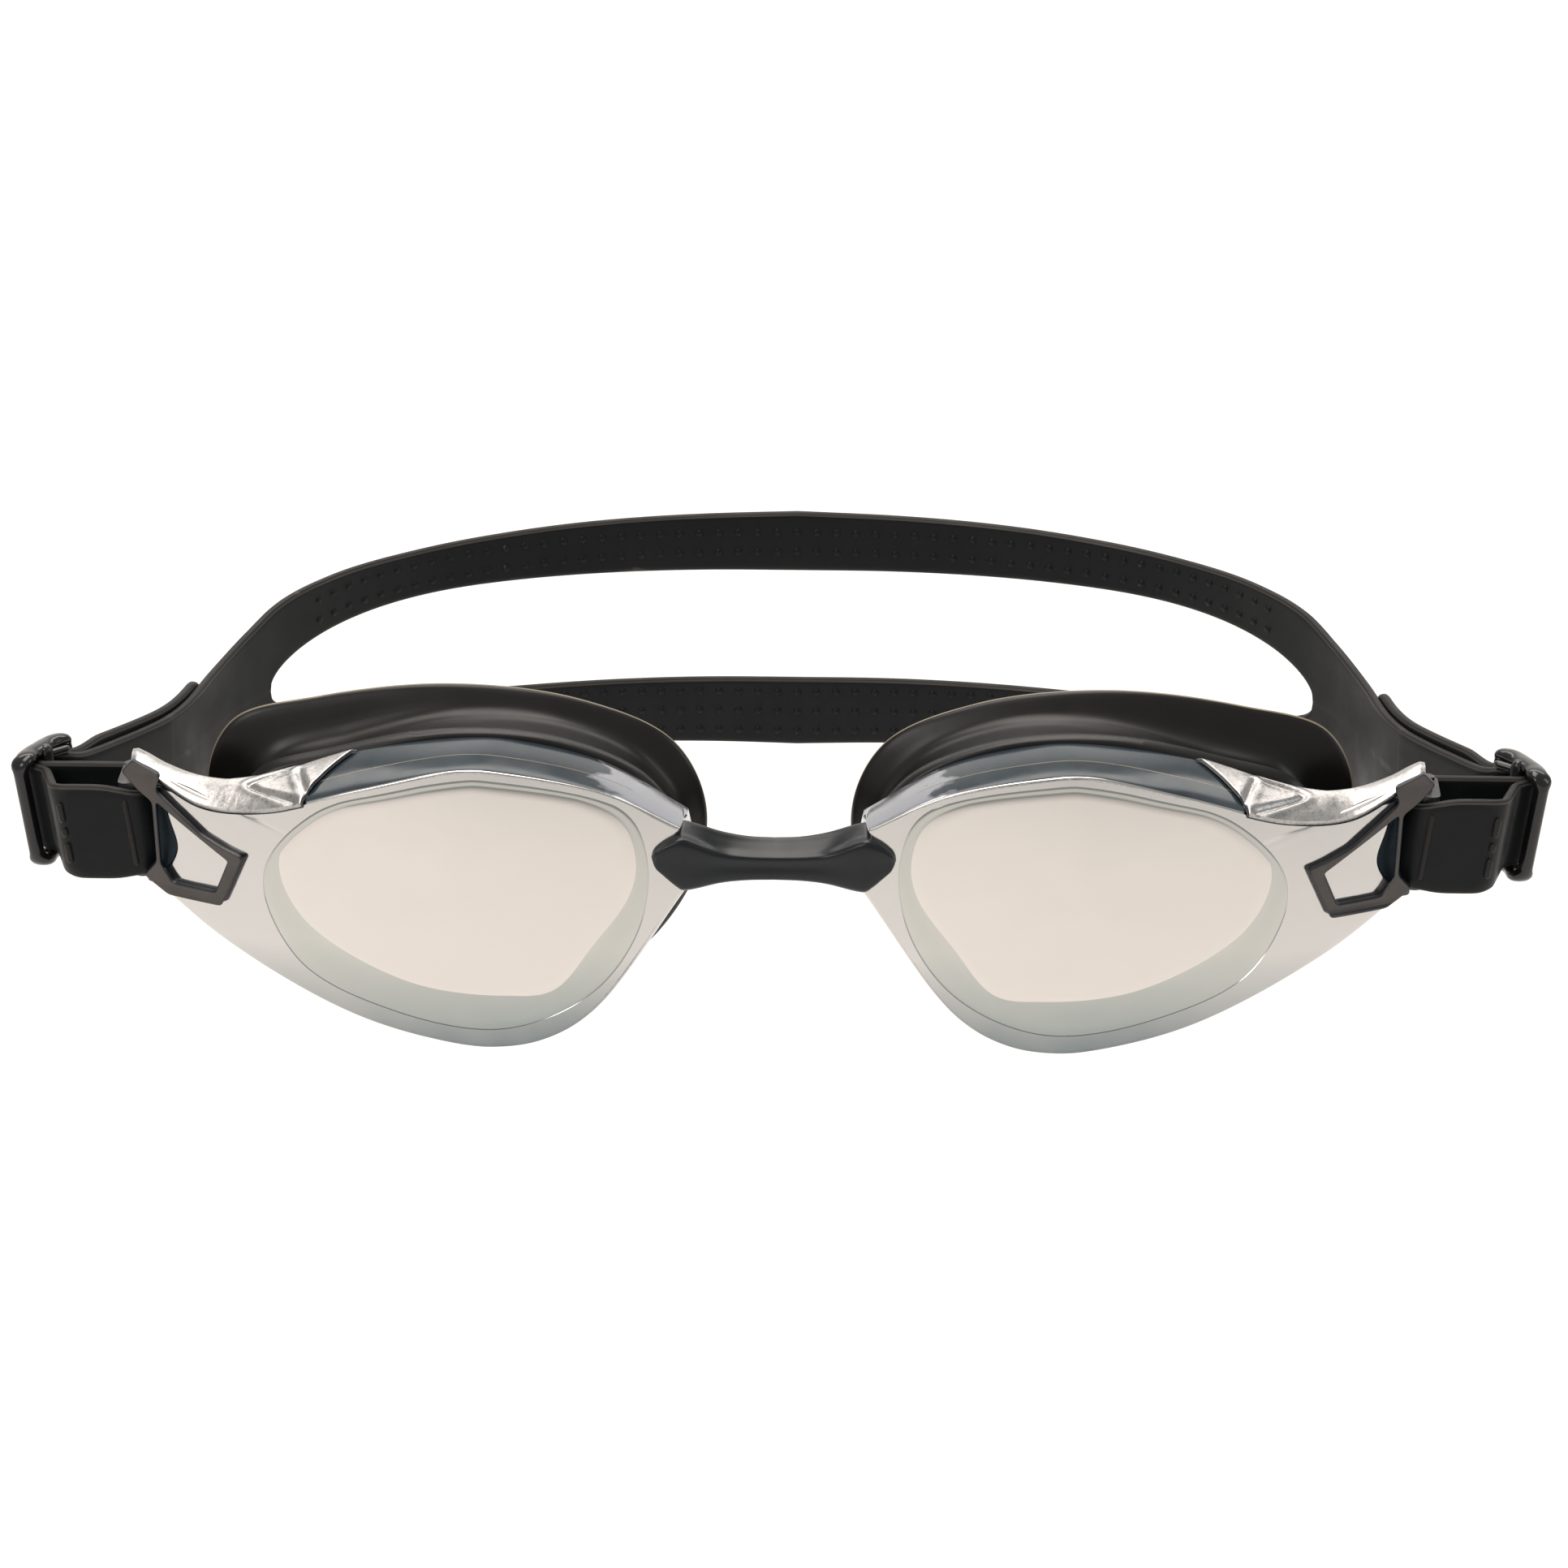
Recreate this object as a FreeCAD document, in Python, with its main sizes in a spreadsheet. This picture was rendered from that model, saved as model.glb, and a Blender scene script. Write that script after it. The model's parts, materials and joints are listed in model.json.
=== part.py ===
import FreeCAD
import Part
import math
import os

# Swim goggles with mirrored lenses and an adjustable split silicone strap.
# Millimetres. X runs to the viewer's right, +Z up, and the front faces -Y. The origin is the
# middle of the plane in which the two gaskets seal against the face.
# Every side piece is modelled once, on the +X side, and mirrored for the -X side.

Vector = FreeCAD.Vector
os.makedirs("parts", exist_ok=True)
doc = FreeCAD.newDocument("swim_goggles")

SIZES = {
    "lens_front": 22.0,         # front of the lenses, ahead of the seal plane
    "lens_rear": 11.5,          # rear edge of the lens wall, ahead of the seal plane
    "lens_wall": 2.2,           # thickness of the lens window
    "lens_end": 73.3,           # outer end of the lens from the middle plane
    "clip_thickness": 1.1,      # bezel of the temple clip on the lens face
    "lug_thickness": 1.3,       # clip lugs above and below the strap loop
    "gasket_depth": 11.3,       # gasket from its lens lip to the face rim
    "gasket_wall": 1.6,
    "carrier_depth": 2.6,       # carrier ring, along Y
    "carrier_wall": 1.4,
    "bridge_depth": 4.6,
    "bridge_front": 21.6,       # front of the nose bridge, ahead of the seal plane
    "strap_thickness": 1.2,
    "strap_width": 11.0,
    "strap_middle": 6.0,        # height of the strap's middle at the buckles
    "strap_joint": 77.0,        # where the soft strap ends pass into the head strap
    "join_gap": 0.1,
    "tail_end": 23.2,           # free end of the strap's tail, behind the seal plane
    "loop_rear": 0.25,          # rear layer of the temple loop, along Y
    "loop_front": 9.5,          # front layer of the temple loop, ahead of the seal plane
    "loop_fold": 75.3,          # fold of the strap round the post, from the middle plane
    "post_width": 3.0,
    "post_pin": 1.5,            # diameter of the post's end pins
    "pin_clearance": 0.05,
    "bar_diameter": 1.8,        # middle bar of the buckle
    "rail_diameter": 1.7,       # outer bars of the buckle
    "slot_height": 12.3,        # inside the buckle, along its bars
    "end_bar": 1.0,             # thickness of the buckle's end bars
    "layer_gap": 0.1,           # between two strap layers
    "wrap_gap": 0.15,           # between the strap and a bar it turns round
    "buckle_x": 89.0,           # middle bar of the buckle
    "buckle_y": 1.9,
    "buckle_lean": 8.7,         # degrees, top of the buckle outwards
}

sheet = doc.addObject("Spreadsheet::Sheet", "Sizes")
for row, (alias, value) in enumerate(SIZES.items(), start=1):
    sheet.set(f"A{row}", alias)
    sheet.set(f"B{row}", str(value))
    sheet.setAlias(f"B{row}", alias)
doc.recompute()


def size(alias):
    """A driving dimension, read from the sheet."""
    return float(sheet.get(alias))


# ---------------------------------------------------------------- sketches and solids

FRONT_VIEW = FreeCAD.Rotation(Vector(1, 0, 0), 90)      # sketch x, y become X, Z
PLAN_VIEW = FreeCAD.Rotation()                          # sketch x, y become X, Y


def smooth(points, closed=False):
    """A spline through the points of an outline."""
    curve = Part.BSplineCurve()
    curve.interpolate([Vector(x, y, 0) for x, y in points], PeriodicFlag=closed)
    return curve


def straight(start, end):
    return Part.LineSegment(Vector(*start, 0), Vector(*end, 0))


def polygon(points):
    return [straight(a, b) for a, b in zip(points, points[1:] + points[:1])]


def bow(start, middle, end):
    """A circular arc through three points."""
    return Part.Arc(Vector(*start, 0), Vector(*middle, 0), Vector(*end, 0))


def sketch(name, rotation, base, geometry):
    """A free sketch in the front view or the plan view."""
    drawn = doc.addObject("Sketcher::SketchObject", name)
    drawn.Placement = FreeCAD.Placement(base, rotation)
    drawn.addGeometry(geometry, False)
    return drawn


def extrude(name, profile, direction, length):
    """A solid of the profile along a direction; length is a number or an expression."""
    solid = doc.addObject("Part::Extrusion", name)
    solid.Base = profile
    solid.DirMode = "Custom"
    solid.Dir = direction
    solid.Solid = True
    if isinstance(length, str):
        solid.setExpression("LengthFwd", length)
    else:
        solid.LengthFwd = length
    return solid


def loft(name, sections, ruled):
    solid = doc.addObject("Part::Loft", name)
    solid.Sections = sections
    solid.Solid = True
    solid.Ruled = ruled
    return solid


def common(name, first, second):
    both = doc.addObject("Part::MultiCommon", name)
    both.Shapes = [first, second]
    return both


def fuse(name, pieces):
    joined = doc.addObject("Part::MultiFuse", name)
    joined.Shapes = pieces
    return joined


def cut(name, base, tool):
    cutting = doc.addObject("Part::Cut", name)
    cutting.Base = base
    cutting.Tool = tool
    return cutting


def box(name, low, high):
    block = doc.addObject("Part::Box", name)
    block.Length, block.Width, block.Height = (high[i] - low[i] for i in range(3))
    block.Placement.Base = Vector(*low)
    return block


def shrink(points, wall):
    """An outline moved inwards by about the wall, by scaling it about its middle."""
    low = [min(p[i] for p in points) for i in range(2)]
    high = [max(p[i] for p in points) for i in range(2)]
    middle = [(low[i] + high[i]) / 2 for i in range(2)]
    scale = [1 - 2 * wall / (high[i] - low[i]) for i in range(2)]
    return [tuple(middle[i] + (p[i] - middle[i]) * scale[i] for i in range(2)) for p in points]


# ---------------------------------------------------------------- strap ribbons in plan

def heading(degrees):
    turn = math.radians(degrees)
    return Vector(math.cos(turn), math.sin(turn), 0)


def left_of(direction):
    return Vector(-direction.y, direction.x, 0)


def offset_route(route, distance):
    """A route of (x, y, radius) corners, moved to its left by a distance."""
    places = [Vector(x, y, 0) for x, y, radius in route]
    moved = []
    for index, (x, y, radius) in enumerate(route):
        ways = []
        if index > 0:
            ways.append((places[index] - places[index - 1]).normalize())
        if index < len(route) - 1:
            ways.append((places[index + 1] - places[index]).normalize())
        normals = [left_of(way) for way in ways]
        if len(normals) == 1:
            place = places[index] + normals[0] * distance
            moved.append((place.x, place.y, 0))
            continue
        spread = 1 + normals[0].dot(normals[1])
        place = places[index] + (normals[0] + normals[1]) * (distance / spread)
        turn = math.copysign(1, ways[0].cross(ways[1]).z)
        moved.append((place.x, place.y, radius - turn * distance))
    return moved


def route_edges(route):
    """Lines and tangent arcs along a route of (x, y, radius) corners."""
    places = [Vector(x, y, 0) for x, y, radius in route]
    edges = []
    start = places[0]
    for before, corner, after, (x, y, radius) in zip(places, places[1:], places[2:], route[1:]):
        way_in = (corner - before).normalize()
        way_out = (after - corner).normalize()
        half_turn = way_in.getAngle(way_out) / 2
        reach = radius * math.tan(half_turn)
        first = corner - way_in * reach
        last = corner + way_out * reach
        inwards = (way_out - way_in).normalize()
        centre = corner + inwards * (radius / math.cos(half_turn))
        if (first - start).Length > 1e-4:
            edges.append(Part.LineSegment(start, first))
        edges.append(Part.Arc(first, centre - inwards * radius, last))
        start = last
    if (places[-1] - start).Length > 1e-4:
        edges.append(Part.LineSegment(start, places[-1]))
    return edges


def ribbon(route, thickness):
    """Closed outline of a strap of one thickness along a route."""
    left = offset_route(route, thickness / 2)
    right = offset_route(route, -thickness / 2)
    caps = [straight(left[-1][:2], right[-1][:2]), straight(right[0][:2], left[0][:2])]
    return route_edges(left) + [caps[0]] + route_edges(right[::-1]) + [caps[1]]


def round_bar(bar, radius, side, heading_in, heading_out, pieces=1):
    """Corners of a route that turns round a bar; side is 1 with the bar on its left."""
    step = (heading_out - heading_in) / pieces
    corners = []
    for index in range(pieces):
        middle = heading_in + step * (index + 0.5)
        reach = radius / math.cos(math.radians(step / 2))
        corner = bar - left_of(heading(middle)) * (side * reach)
        corners.append((corner.x, corner.y, radius))
    return corners


# ---------------------------------------------------------------- lens

LENS_TOP = [(11.2, 11.0), (20.0, 15.6), (31.8, 18.2), (37.7, 18.5), (49.5, 15.6),
            (61.2, 11.9), (69.0, 11.4), (76.3, 14.5)]
LENS_BOTTOM = [(76.3, 1.4), (66.6, -5.5), (51.2, -13.2), (41.0, -16.1), (34.0, -17.0),
               (27.8, -16.0), (21.8, -12.3), (10.7, 3.1)]
WALL_TOP = [(10.6, 10.6), (20.6, 16.4), (31.0, 19.0), (37.0, 19.3), (49.5, 17.6),
            (61.2, 14.0), (69.0, 13.1), (76.3, 14.7)]
WALL_BOTTOM = [(76.3, 1.2), (66.6, -5.7), (51.2, -13.4), (41.0, -16.3), (34.0, -17.2),
               (27.5, -16.2), (21.2, -12.6), (9.7, 3.3)]
WINDOW = [(14.6, 6.9), (17.8, 13.3), (31.8, 17.0), (44.0, 15.6), (55.1, 11.6), (61.2, 4.0),
          (57.3, -6.6), (46.0, -12.6), (32.3, -14.6), (22.1, -9.8), (16.4, -2.2)]


def lens_outline(top, bottom):
    ends = [straight(top[-1], bottom[0]), straight(bottom[-1], top[0])]
    return [smooth(top), ends[0], smooth(bottom), ends[1]]


def front_curve(setback, grow=0.0):
    """Plan of the lens face: nearly flat over the eye and swept back at the temple."""
    front = setback - size("lens_front")
    return [bow((6.0, front + 3.2), (21.0, front + 0.75), (35.0, front)),
            bow((35.0, front), (56.0, front + 2.94), (78.0 + grow, front + 12.33))]


def plan_band(name, front, back_points, height=60.0):
    """A tall solid between a front curve and straight rear lines."""
    last = front[-1].EndPoint
    first = front[0].StartPoint
    corners = [(last.x, last.y)] + back_points + [(first.x, first.y)]
    lines = [straight(a, b) for a, b in zip(corners, corners[1:])]
    drawn = sketch(name + "_plan", PLAN_VIEW, Vector(0, 0, -height / 2), front + lines)
    return extrude(name, drawn, Vector(0, 0, 1), height)


def make_lens():
    rear = -size("lens_rear")
    face_outline = sketch("lens_face", FRONT_VIEW, Vector(0, -23.0, 0),
                          lens_outline(LENS_TOP, LENS_BOTTOM))
    wall_outline = sketch("lens_wall_edge", FRONT_VIEW, Vector(0, -6.0, 0),
                          lens_outline(WALL_TOP, WALL_BOTTOM))
    blank = loft("lens_blank", [face_outline, wall_outline], True)
    band = plan_band("lens_band", front_curve(0.0), [(78.0, -6.5), (66.0, rear), (6.0, rear)])
    shell = common("lens_shell", blank, band)
    window_outline = sketch("lens_window", FRONT_VIEW, Vector(0, 0, 0), [smooth(WINDOW, True)])
    window = extrude("lens_window_tool", window_outline, Vector(0, -1, 0), 30.0)
    inside = plan_band("lens_inside", front_curve(size("lens_wall")), [(78.0, 2.0), (6.0, 2.0)])
    cavity = common("lens_cavity", window, inside)
    hollow = cut("lens_hollow", shell, cavity)
    end_block = box("lens_end_block", (size("lens_end"), -30.0, -25.0), (90.0, 5.0, 30.0))
    trimmed = cut("lens_trimmed", hollow, end_block)
    notch = bridge_block("lens_notch", 0.05)
    return cut("right_lens", trimmed, notch)


# ---------------------------------------------------------------- nose bridge

BRIDGE_TIP = (14.0, 7.4)
BRIDGE_TOP = (10.9, 11.0)
BRIDGE_BOTTOM = (10.7, 3.2)
BRIDGE_WAIST = (4.4, 9.1)       # lower and upper edge at the middle plane


def bridge_outline(clearance):
    """Waisted bar whose ends are blunt arrows."""
    tip = (BRIDGE_TIP[0] + clearance, BRIDGE_TIP[1])
    top = (BRIDGE_TOP[0], BRIDGE_TOP[1] + clearance)
    bottom = (BRIDGE_BOTTOM[0], BRIDGE_BOTTOM[1] - clearance)
    mirrored = [(-x, y) for x, y in (tip, top, bottom)]
    return [straight(bottom, tip), straight(tip, top),
            bow(top, (0.0, BRIDGE_WAIST[1]), mirrored[1]),
            straight(mirrored[1], mirrored[0]), straight(mirrored[0], mirrored[2]),
            bow(mirrored[2], (0.0, BRIDGE_WAIST[0]), bottom)]


def bridge_block(name, clearance):
    base = Vector(0, clearance + size("bridge_depth") - size("bridge_front"), 0)
    drawn = sketch(name + "_outline", FRONT_VIEW, base, bridge_outline(clearance))
    return extrude(name, drawn, Vector(0, -1, 0), size("bridge_depth") + 2 * clearance)


def origin_plane(body, role):
    return next(plane for plane in body.Origin.OriginFeatures if plane.Role == role)


def body_sketch(body, name, role, geometry):
    drawn = body.newObject("Sketcher::SketchObject", name)
    drawn.AttachmentSupport = [(origin_plane(body, role), "")]
    drawn.MapMode = "FlatFace"
    drawn.addGeometry(geometry, False)
    return drawn


def make_bridge():
    body = doc.addObject("PartDesign::Body", "nose_bridge")
    drawn = body_sketch(body, "bridge_front", "XZ_Plane", bridge_outline(0.0))
    pad = body.newObject("PartDesign::Pad", "bridge_pad")
    pad.Profile = drawn
    pad.setExpression("Length", "Sizes.bridge_depth")
    body.Placement.Base = Vector(0, size("bridge_depth") - size("bridge_front"), 0)
    return body


# ---------------------------------------------------------------- gasket and its carrier

RIM = [(68.5, 9.0), (66.0, 17.3), (56.0, 20.5), (40.0, 22.3), (24.0, 20.4), (12.8, 15.2),
       (8.8, 6.5), (11.0, -4.0), (20.0, -14.5), (36.0, -19.0), (52.0, -15.5), (64.0, -4.0)]
LIP = [(64.5, 8.0), (62.0, 13.8), (53.0, 16.8), (39.0, 19.6), (26.0, 18.6), (16.0, 14.0),
       (11.5, 6.5), (13.8, -2.5), (22.0, -11.8), (35.5, -16.2), (50.0, -12.8), (60.5, -3.5)]


def blend_outline(first, second, share):
    return [tuple(a + (b - a) * share for a, b in zip(p, q)) for p, q in zip(first, second)]


def make_gasket():
    depth = size("gasket_depth")
    wall = size("gasket_wall")
    waist = blend_outline(LIP, RIM, 0.3)
    outlines = [(LIP, -depth), (waist, -0.55 * depth), (RIM, 0.0)]
    outer = []
    inner = []
    for index, (outline, place) in enumerate(outlines):
        outer.append(sketch(f"gasket_outer_{index}", FRONT_VIEW, Vector(0, place, 0),
                            [smooth(outline, True)]))
        beyond = (-1.0, 0.0, 1.0)[index]
        inner.append(sketch(f"gasket_inner_{index}", FRONT_VIEW, Vector(0, place + beyond, 0),
                            [smooth(shrink(outline, wall), True)]))
    return cut("right_gasket", loft("gasket_body", outer, False),
               loft("gasket_bore", inner, False))


def make_carrier():
    """Ring inside the rear of the lens that holds the gasket's lip."""
    front = -size("lens_rear") + 0.1
    seat = shrink(WINDOW, 0.15)
    opening = shrink(seat, size("carrier_wall"))
    drawn = sketch("carrier_outline", FRONT_VIEW, Vector(0, front, 0), [smooth(seat, True)])
    bored = sketch("carrier_opening", FRONT_VIEW, Vector(0, front + 1.0, 0),
                   [smooth(opening, True)])
    ring = extrude("carrier_blank", drawn, Vector(0, -1, 0), "Sizes.carrier_depth")
    hole = extrude("carrier_bore", bored, Vector(0, -1, 0), size("carrier_depth") + 2.0)
    return cut("right_gasket_frame", ring, hole)


# ---------------------------------------------------------------- temple clip and strap post

BEZEL = [(77.7, 13.9), (76.0, 15.5), (72.7, 14.3), (74.0, 12.3), (69.0, 7.8), (66.2, 6.5),
         (63.8, 5.7), (66.7, -0.9), (73.7, -1.6), (77.0, 0.5), (75.7, 3.4), (76.0, 11.6)]
BEZEL_WINDOW = [(74.9, 11.0), (65.7, 5.0), (67.4, 0.8), (72.8, 1.0), (74.2, 3.2)]

leaning = FreeCAD.Rotation(Vector(0, 1, 0), size("buckle_lean"))
lean_way = leaning.multVec(Vector(0, 0, 1))
post_middle = Vector(size("loop_fold") + size("strap_thickness") / 2 + size("wrap_gap")
                     + size("post_width") / 2, (size("loop_rear") - size("loop_front")) / 2,
                     size("strap_middle"))


def lug(name, side):
    """Flat lug of the clip that holds one end of the post."""
    half = size("slot_height") / 2
    thick = size("lug_thickness")
    low = half if side > 0 else -half - thick
    block = box(name, (-2.9, -3.6, low), (1.9, 2.6, low + thick))
    block.Placement = FreeCAD.Placement(post_middle, leaning).multiply(block.Placement)
    return block


def make_clip():
    outline = sketch("bezel_outline", FRONT_VIEW, Vector(0, 0, 0), polygon(BEZEL))
    blank = extrude("bezel_blank", outline, Vector(0, -1, 0), 30.0)
    opening = sketch("bezel_window", FRONT_VIEW, Vector(0, 5, 0), polygon(BEZEL_WINDOW))
    window = extrude("bezel_window_tool", opening, Vector(0, -1, 0), 40.0)
    thick = size("clip_thickness")
    outer = plan_band("bezel_outer", front_curve(-0.05 - thick, 1.0), [(79.0, 3.0), (6.0, 3.0)])
    inner = plan_band("bezel_inner", front_curve(-0.05, 1.0), [(79.0, 5.0), (6.0, 5.0)])
    skin = cut("bezel_skin", common("bezel_curved", blank, outer), inner)
    bezel = cut("bezel", skin, window)
    webs = [box("lug_web_top", (74.5, -12.6, 12.4), (77.5, -6.5, 13.6)),
            box("lug_web_bottom", (74.5, -12.6, -1.5), (77.0, -6.5, -0.2))]
    face_side = plan_band("web_limit", front_curve(-0.3 - thick / 2, 1.0),
                          [(79.0, 3.0), (6.0, 3.0)])
    web = common("lug_webs_curved", fuse("lug_webs", webs), face_side)
    solid = fuse("clip_solid", [bezel, web, lug("lug_top", 1), lug("lug_bottom", -1)])
    pin = doc.addObject("Part::Cylinder", "clip_pin_hole")
    pin.setExpression("Radius", "Sizes.post_pin / 2 + Sizes.pin_clearance")
    pin.Height = 30.0
    pin.Placement = FreeCAD.Placement(post_middle - lean_way * 15.0, leaning)
    return cut("right_temple_clip", solid, pin)


def make_post():
    """Flat bar with round end pins; the strap turns round it."""
    half = size("post_width") / 2
    reach = (size("loop_front") + size("loop_rear") - size("strap_thickness") - 0.3) / 2
    body = doc.addObject("PartDesign::Body", "right_strap_post")
    outline = [bow((-half, reach - half), (0.0, reach), (half, reach - half)),
               straight((half, reach - half), (half, half - reach)),
               bow((half, half - reach), (0.0, -reach), (-half, half - reach)),
               straight((-half, half - reach), (-half, reach - half))]
    bar = body.newObject("PartDesign::Pad", "post_bar")
    bar.Profile = body_sketch(body, "post_section", "XY_Plane", outline)
    bar.setExpression("Length", "Sizes.slot_height - 0.2")
    bar.Midplane = True
    pins = body.newObject("PartDesign::Pad", "post_pins")
    circle = Part.Circle(Vector(0, 0, 0), Vector(0, 0, 1), size("post_pin") / 2)
    pins.Profile = body_sketch(body, "post_pin_section", "XY_Plane", [circle])
    pins.setExpression("Length", "Sizes.slot_height + 2 * Sizes.lug_thickness - 0.2")
    pins.Midplane = True
    body.Placement = FreeCAD.Placement(post_middle, leaning)
    return body


# ---------------------------------------------------------------- buckle

RAIL_FRONT = Vector(3.3, -3.6, 0)       # outer bars of the buckle, from its middle bar
RAIL_REAR = Vector(-1.5, 4.6, 0)
END_BAR = [(3.9, -4.4), (4.3, -3.6), (-0.7, 5.4), (-1.9, 5.4), (-2.4, 4.6), (-1.9, 0.0),
           (-1.2, -1.4), (2.5, -4.3)]
buckle_middle = Vector(size("buckle_x"), size("buckle_y"), size("strap_middle"))
buckle_place = FreeCAD.Placement(buckle_middle, leaning)


def cylinder(name, radius, height, base):
    bar = doc.addObject("Part::Cylinder", name)
    bar.setExpression("Radius", radius)
    bar.Height = height
    bar.Placement.Base = base - Vector(0, 0, height / 2)
    return bar


def make_buckle_frame():
    """Two rails between two end bars; the middle bar turns in holes through the end bars."""
    tall = size("slot_height") + 2 * size("end_bar")
    pieces = [cylinder("rail_front", "Sizes.rail_diameter / 2", tall, RAIL_FRONT),
              cylinder("rail_rear", "Sizes.rail_diameter / 2", tall, RAIL_REAR)]
    for name, low in (("end_top", size("slot_height") / 2), ("end_bottom", -tall / 2)):
        outline = sketch(name + "_plan", PLAN_VIEW, Vector(0, 0, low), polygon(END_BAR))
        pieces.append(extrude(name, outline, Vector(0, 0, 1), "Sizes.end_bar"))
    solid = fuse("buckle_solid", pieces)
    hole = cylinder("bar_hole", "Sizes.bar_diameter / 2 + Sizes.pin_clearance", tall + 4,
                    Vector(0, 0, 0))
    frame = cut("right_buckle_frame", solid, hole)
    frame.Placement = buckle_place
    return frame


def make_buckle_bar():
    body = doc.addObject("PartDesign::Body", "right_buckle_bar")
    circle = Part.Circle(Vector(0, 0, 0), Vector(0, 0, 1), size("bar_diameter") / 2)
    bar = body.newObject("PartDesign::Pad", "bar_pad")
    bar.Profile = body_sketch(body, "bar_section", "XY_Plane", [circle])
    bar.setExpression("Length", "Sizes.slot_height + 2 * Sizes.end_bar - 0.2")
    bar.Midplane = True
    edges = body.newObject("PartDesign::Chamfer", "bar_chamfer")
    doc.recompute()
    ends = [f"Edge{i + 1}" for i, edge in enumerate(bar.Shape.Edges)
            if isinstance(edge.Curve, Part.Circle)]
    edges.Base = (bar, ends)
    edges.Size = 0.2
    body.Placement = buckle_place
    return body


# ---------------------------------------------------------------- strap

HEAD_ROUTE = [(24.0, 75.6, 98.0), (56.0, 63.5, 50.0), (71.5, 41.0, 54.0), (75.5, 22.0, 32.0)]
BAND_TOP = [(77.5, 11.7), (73.0, 12.2), (69.5, 14.0), (66.0, 15.9), (56.0, 17.6), (30.0, 19.4),
            (0.0, 20.5)]
BAND_BOTTOM = [(77.5, 0.3), (73.0, -1.2), (69.5, -3.6), (66.0, -6.0), (56.0, -8.8),
               (30.0, -11.2), (0.0, -12.1)]
SPLIT = [(67.6, 4.6), (64.5, 8.6), (56.0, 10.6), (30.0, 12.0), (0.0, 12.3)]
SPLIT_BELOW = [(0.0, -2.7), (30.0, -2.4), (56.0, -0.9), (64.5, 1.6)]

strap = size("strap_thickness")
rail_turn = size("rail_diameter") / 2 + size("wrap_gap") + strap / 2
bar_turn = size("bar_diameter") / 2 + size("wrap_gap") + strap / 2
layer = strap + size("layer_gap")
rail_rear = buckle_middle + RAIL_REAR


def mirror_points(points):
    """The points of the +X side continued to the -X side through the middle plane."""
    return points + [(-x, y) for x, y in reversed(points) if x > 0]


def slot_heading():
    """Way of the strap between the rear rail, on its left, and the middle bar."""
    way = buckle_middle - rail_rear
    lean = math.degrees(math.asin((rail_turn + bar_turn + layer) / way.Length))
    return math.degrees(math.atan2(way.y, way.x)) + lean


def approach_heading():
    """Way of the head band from its last bend to the rear rail."""
    bend = Vector(HEAD_ROUTE[-1][0], HEAD_ROUTE[-1][1], 0)
    way = Vector(rail_rear.x, rail_rear.y, 0) - bend
    lean = math.degrees(math.asin((rail_turn + layer) / way.Length))
    return math.degrees(math.atan2(way.y, way.x)) - lean


def head_route():
    """Plan of the whole head strap, from bend to bend past both ends."""
    half = HEAD_ROUTE
    end = Vector(half[-1][0], half[-1][1], 0) + heading(approach_heading()) * 6.0
    right = half + [(end.x, end.y, 0)]
    return [(-x, y, radius) for x, y, radius in reversed(right)] + right


def make_head_strap():
    ribbon_plan = sketch("head_ribbon_plan", PLAN_VIEW, Vector(0, 0, -15),
                         ribbon(head_route(), strap))
    band = extrude("head_ribbon", ribbon_plan, Vector(0, 0, 1), 40.0)
    top = mirror_points(BAND_TOP)
    bottom = mirror_points(BAND_BOTTOM)
    edge_lines = [smooth(top), straight(top[-1], bottom[-1]), smooth(bottom),
                  straight(bottom[0], top[0])]
    side = sketch("head_band_side", FRONT_VIEW, Vector(0, 90, 0), edge_lines)
    shaped = common("head_band", band, extrude("head_side", side, Vector(0, -1, 0), 120.0))
    split_outline = mirror_points(SPLIT) + [(-x, y) for x, y in reversed(SPLIT_BELOW[1:])]
    split_outline += SPLIT_BELOW
    hole = sketch("head_split_side", FRONT_VIEW, Vector(0, 90, 0),
                  [smooth(split_outline, True)])
    split = cut("head_split", shaped, extrude("split_tool", hole, Vector(0, -1, 0), 120.0))
    reach = size("strap_joint") - size("join_gap")
    span = box("head_span", (-reach, -5.0, -30.0), (reach, 90.0, 40.0))
    return common("head_strap", split, span)


def end_route():
    """Plan of one strap end, from the head strap through the buckle to the free tail."""
    slot = slot_heading()
    approach = approach_heading()
    bend_x, bend_y, bend_radius = HEAD_ROUTE[-1]
    start = HEAD_ROUTE[-2]
    fold = size("loop_fold")
    rear = buckle_middle.y - bar_turn
    front = -size("loop_front")
    curl = buckle_middle + Vector(-0.4, -3.9, 0)
    rise = 35.0
    route = [((start[0] + bend_x) / 2, (start[1] + bend_y) / 2, 0),
             (bend_x, bend_y, bend_radius)]
    route += round_bar(rail_rear, rail_turn + layer, 1, approach, slot)
    route += round_bar(buckle_middle, bar_turn, -1, slot, -180.0, 3)
    route += [(fold, rear, 2.4), (fold, front, 2.4), (curl.x - 2.0, front, 2.2),
              (curl.x, curl.y, 2.0)]
    route += round_bar(buckle_middle, bar_turn + layer, 1, rise, slot + 180.0, 2)
    route += round_bar(rail_rear, rail_turn, -1, slot + 180.0, approach + 180.0)
    before = Vector(bend_x, bend_y, 0) + heading(approach) * 10.0
    tail = offset_route([(before.x, before.y, 0), route[1], route[0]], -layer)
    return route + tail[1:]


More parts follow.
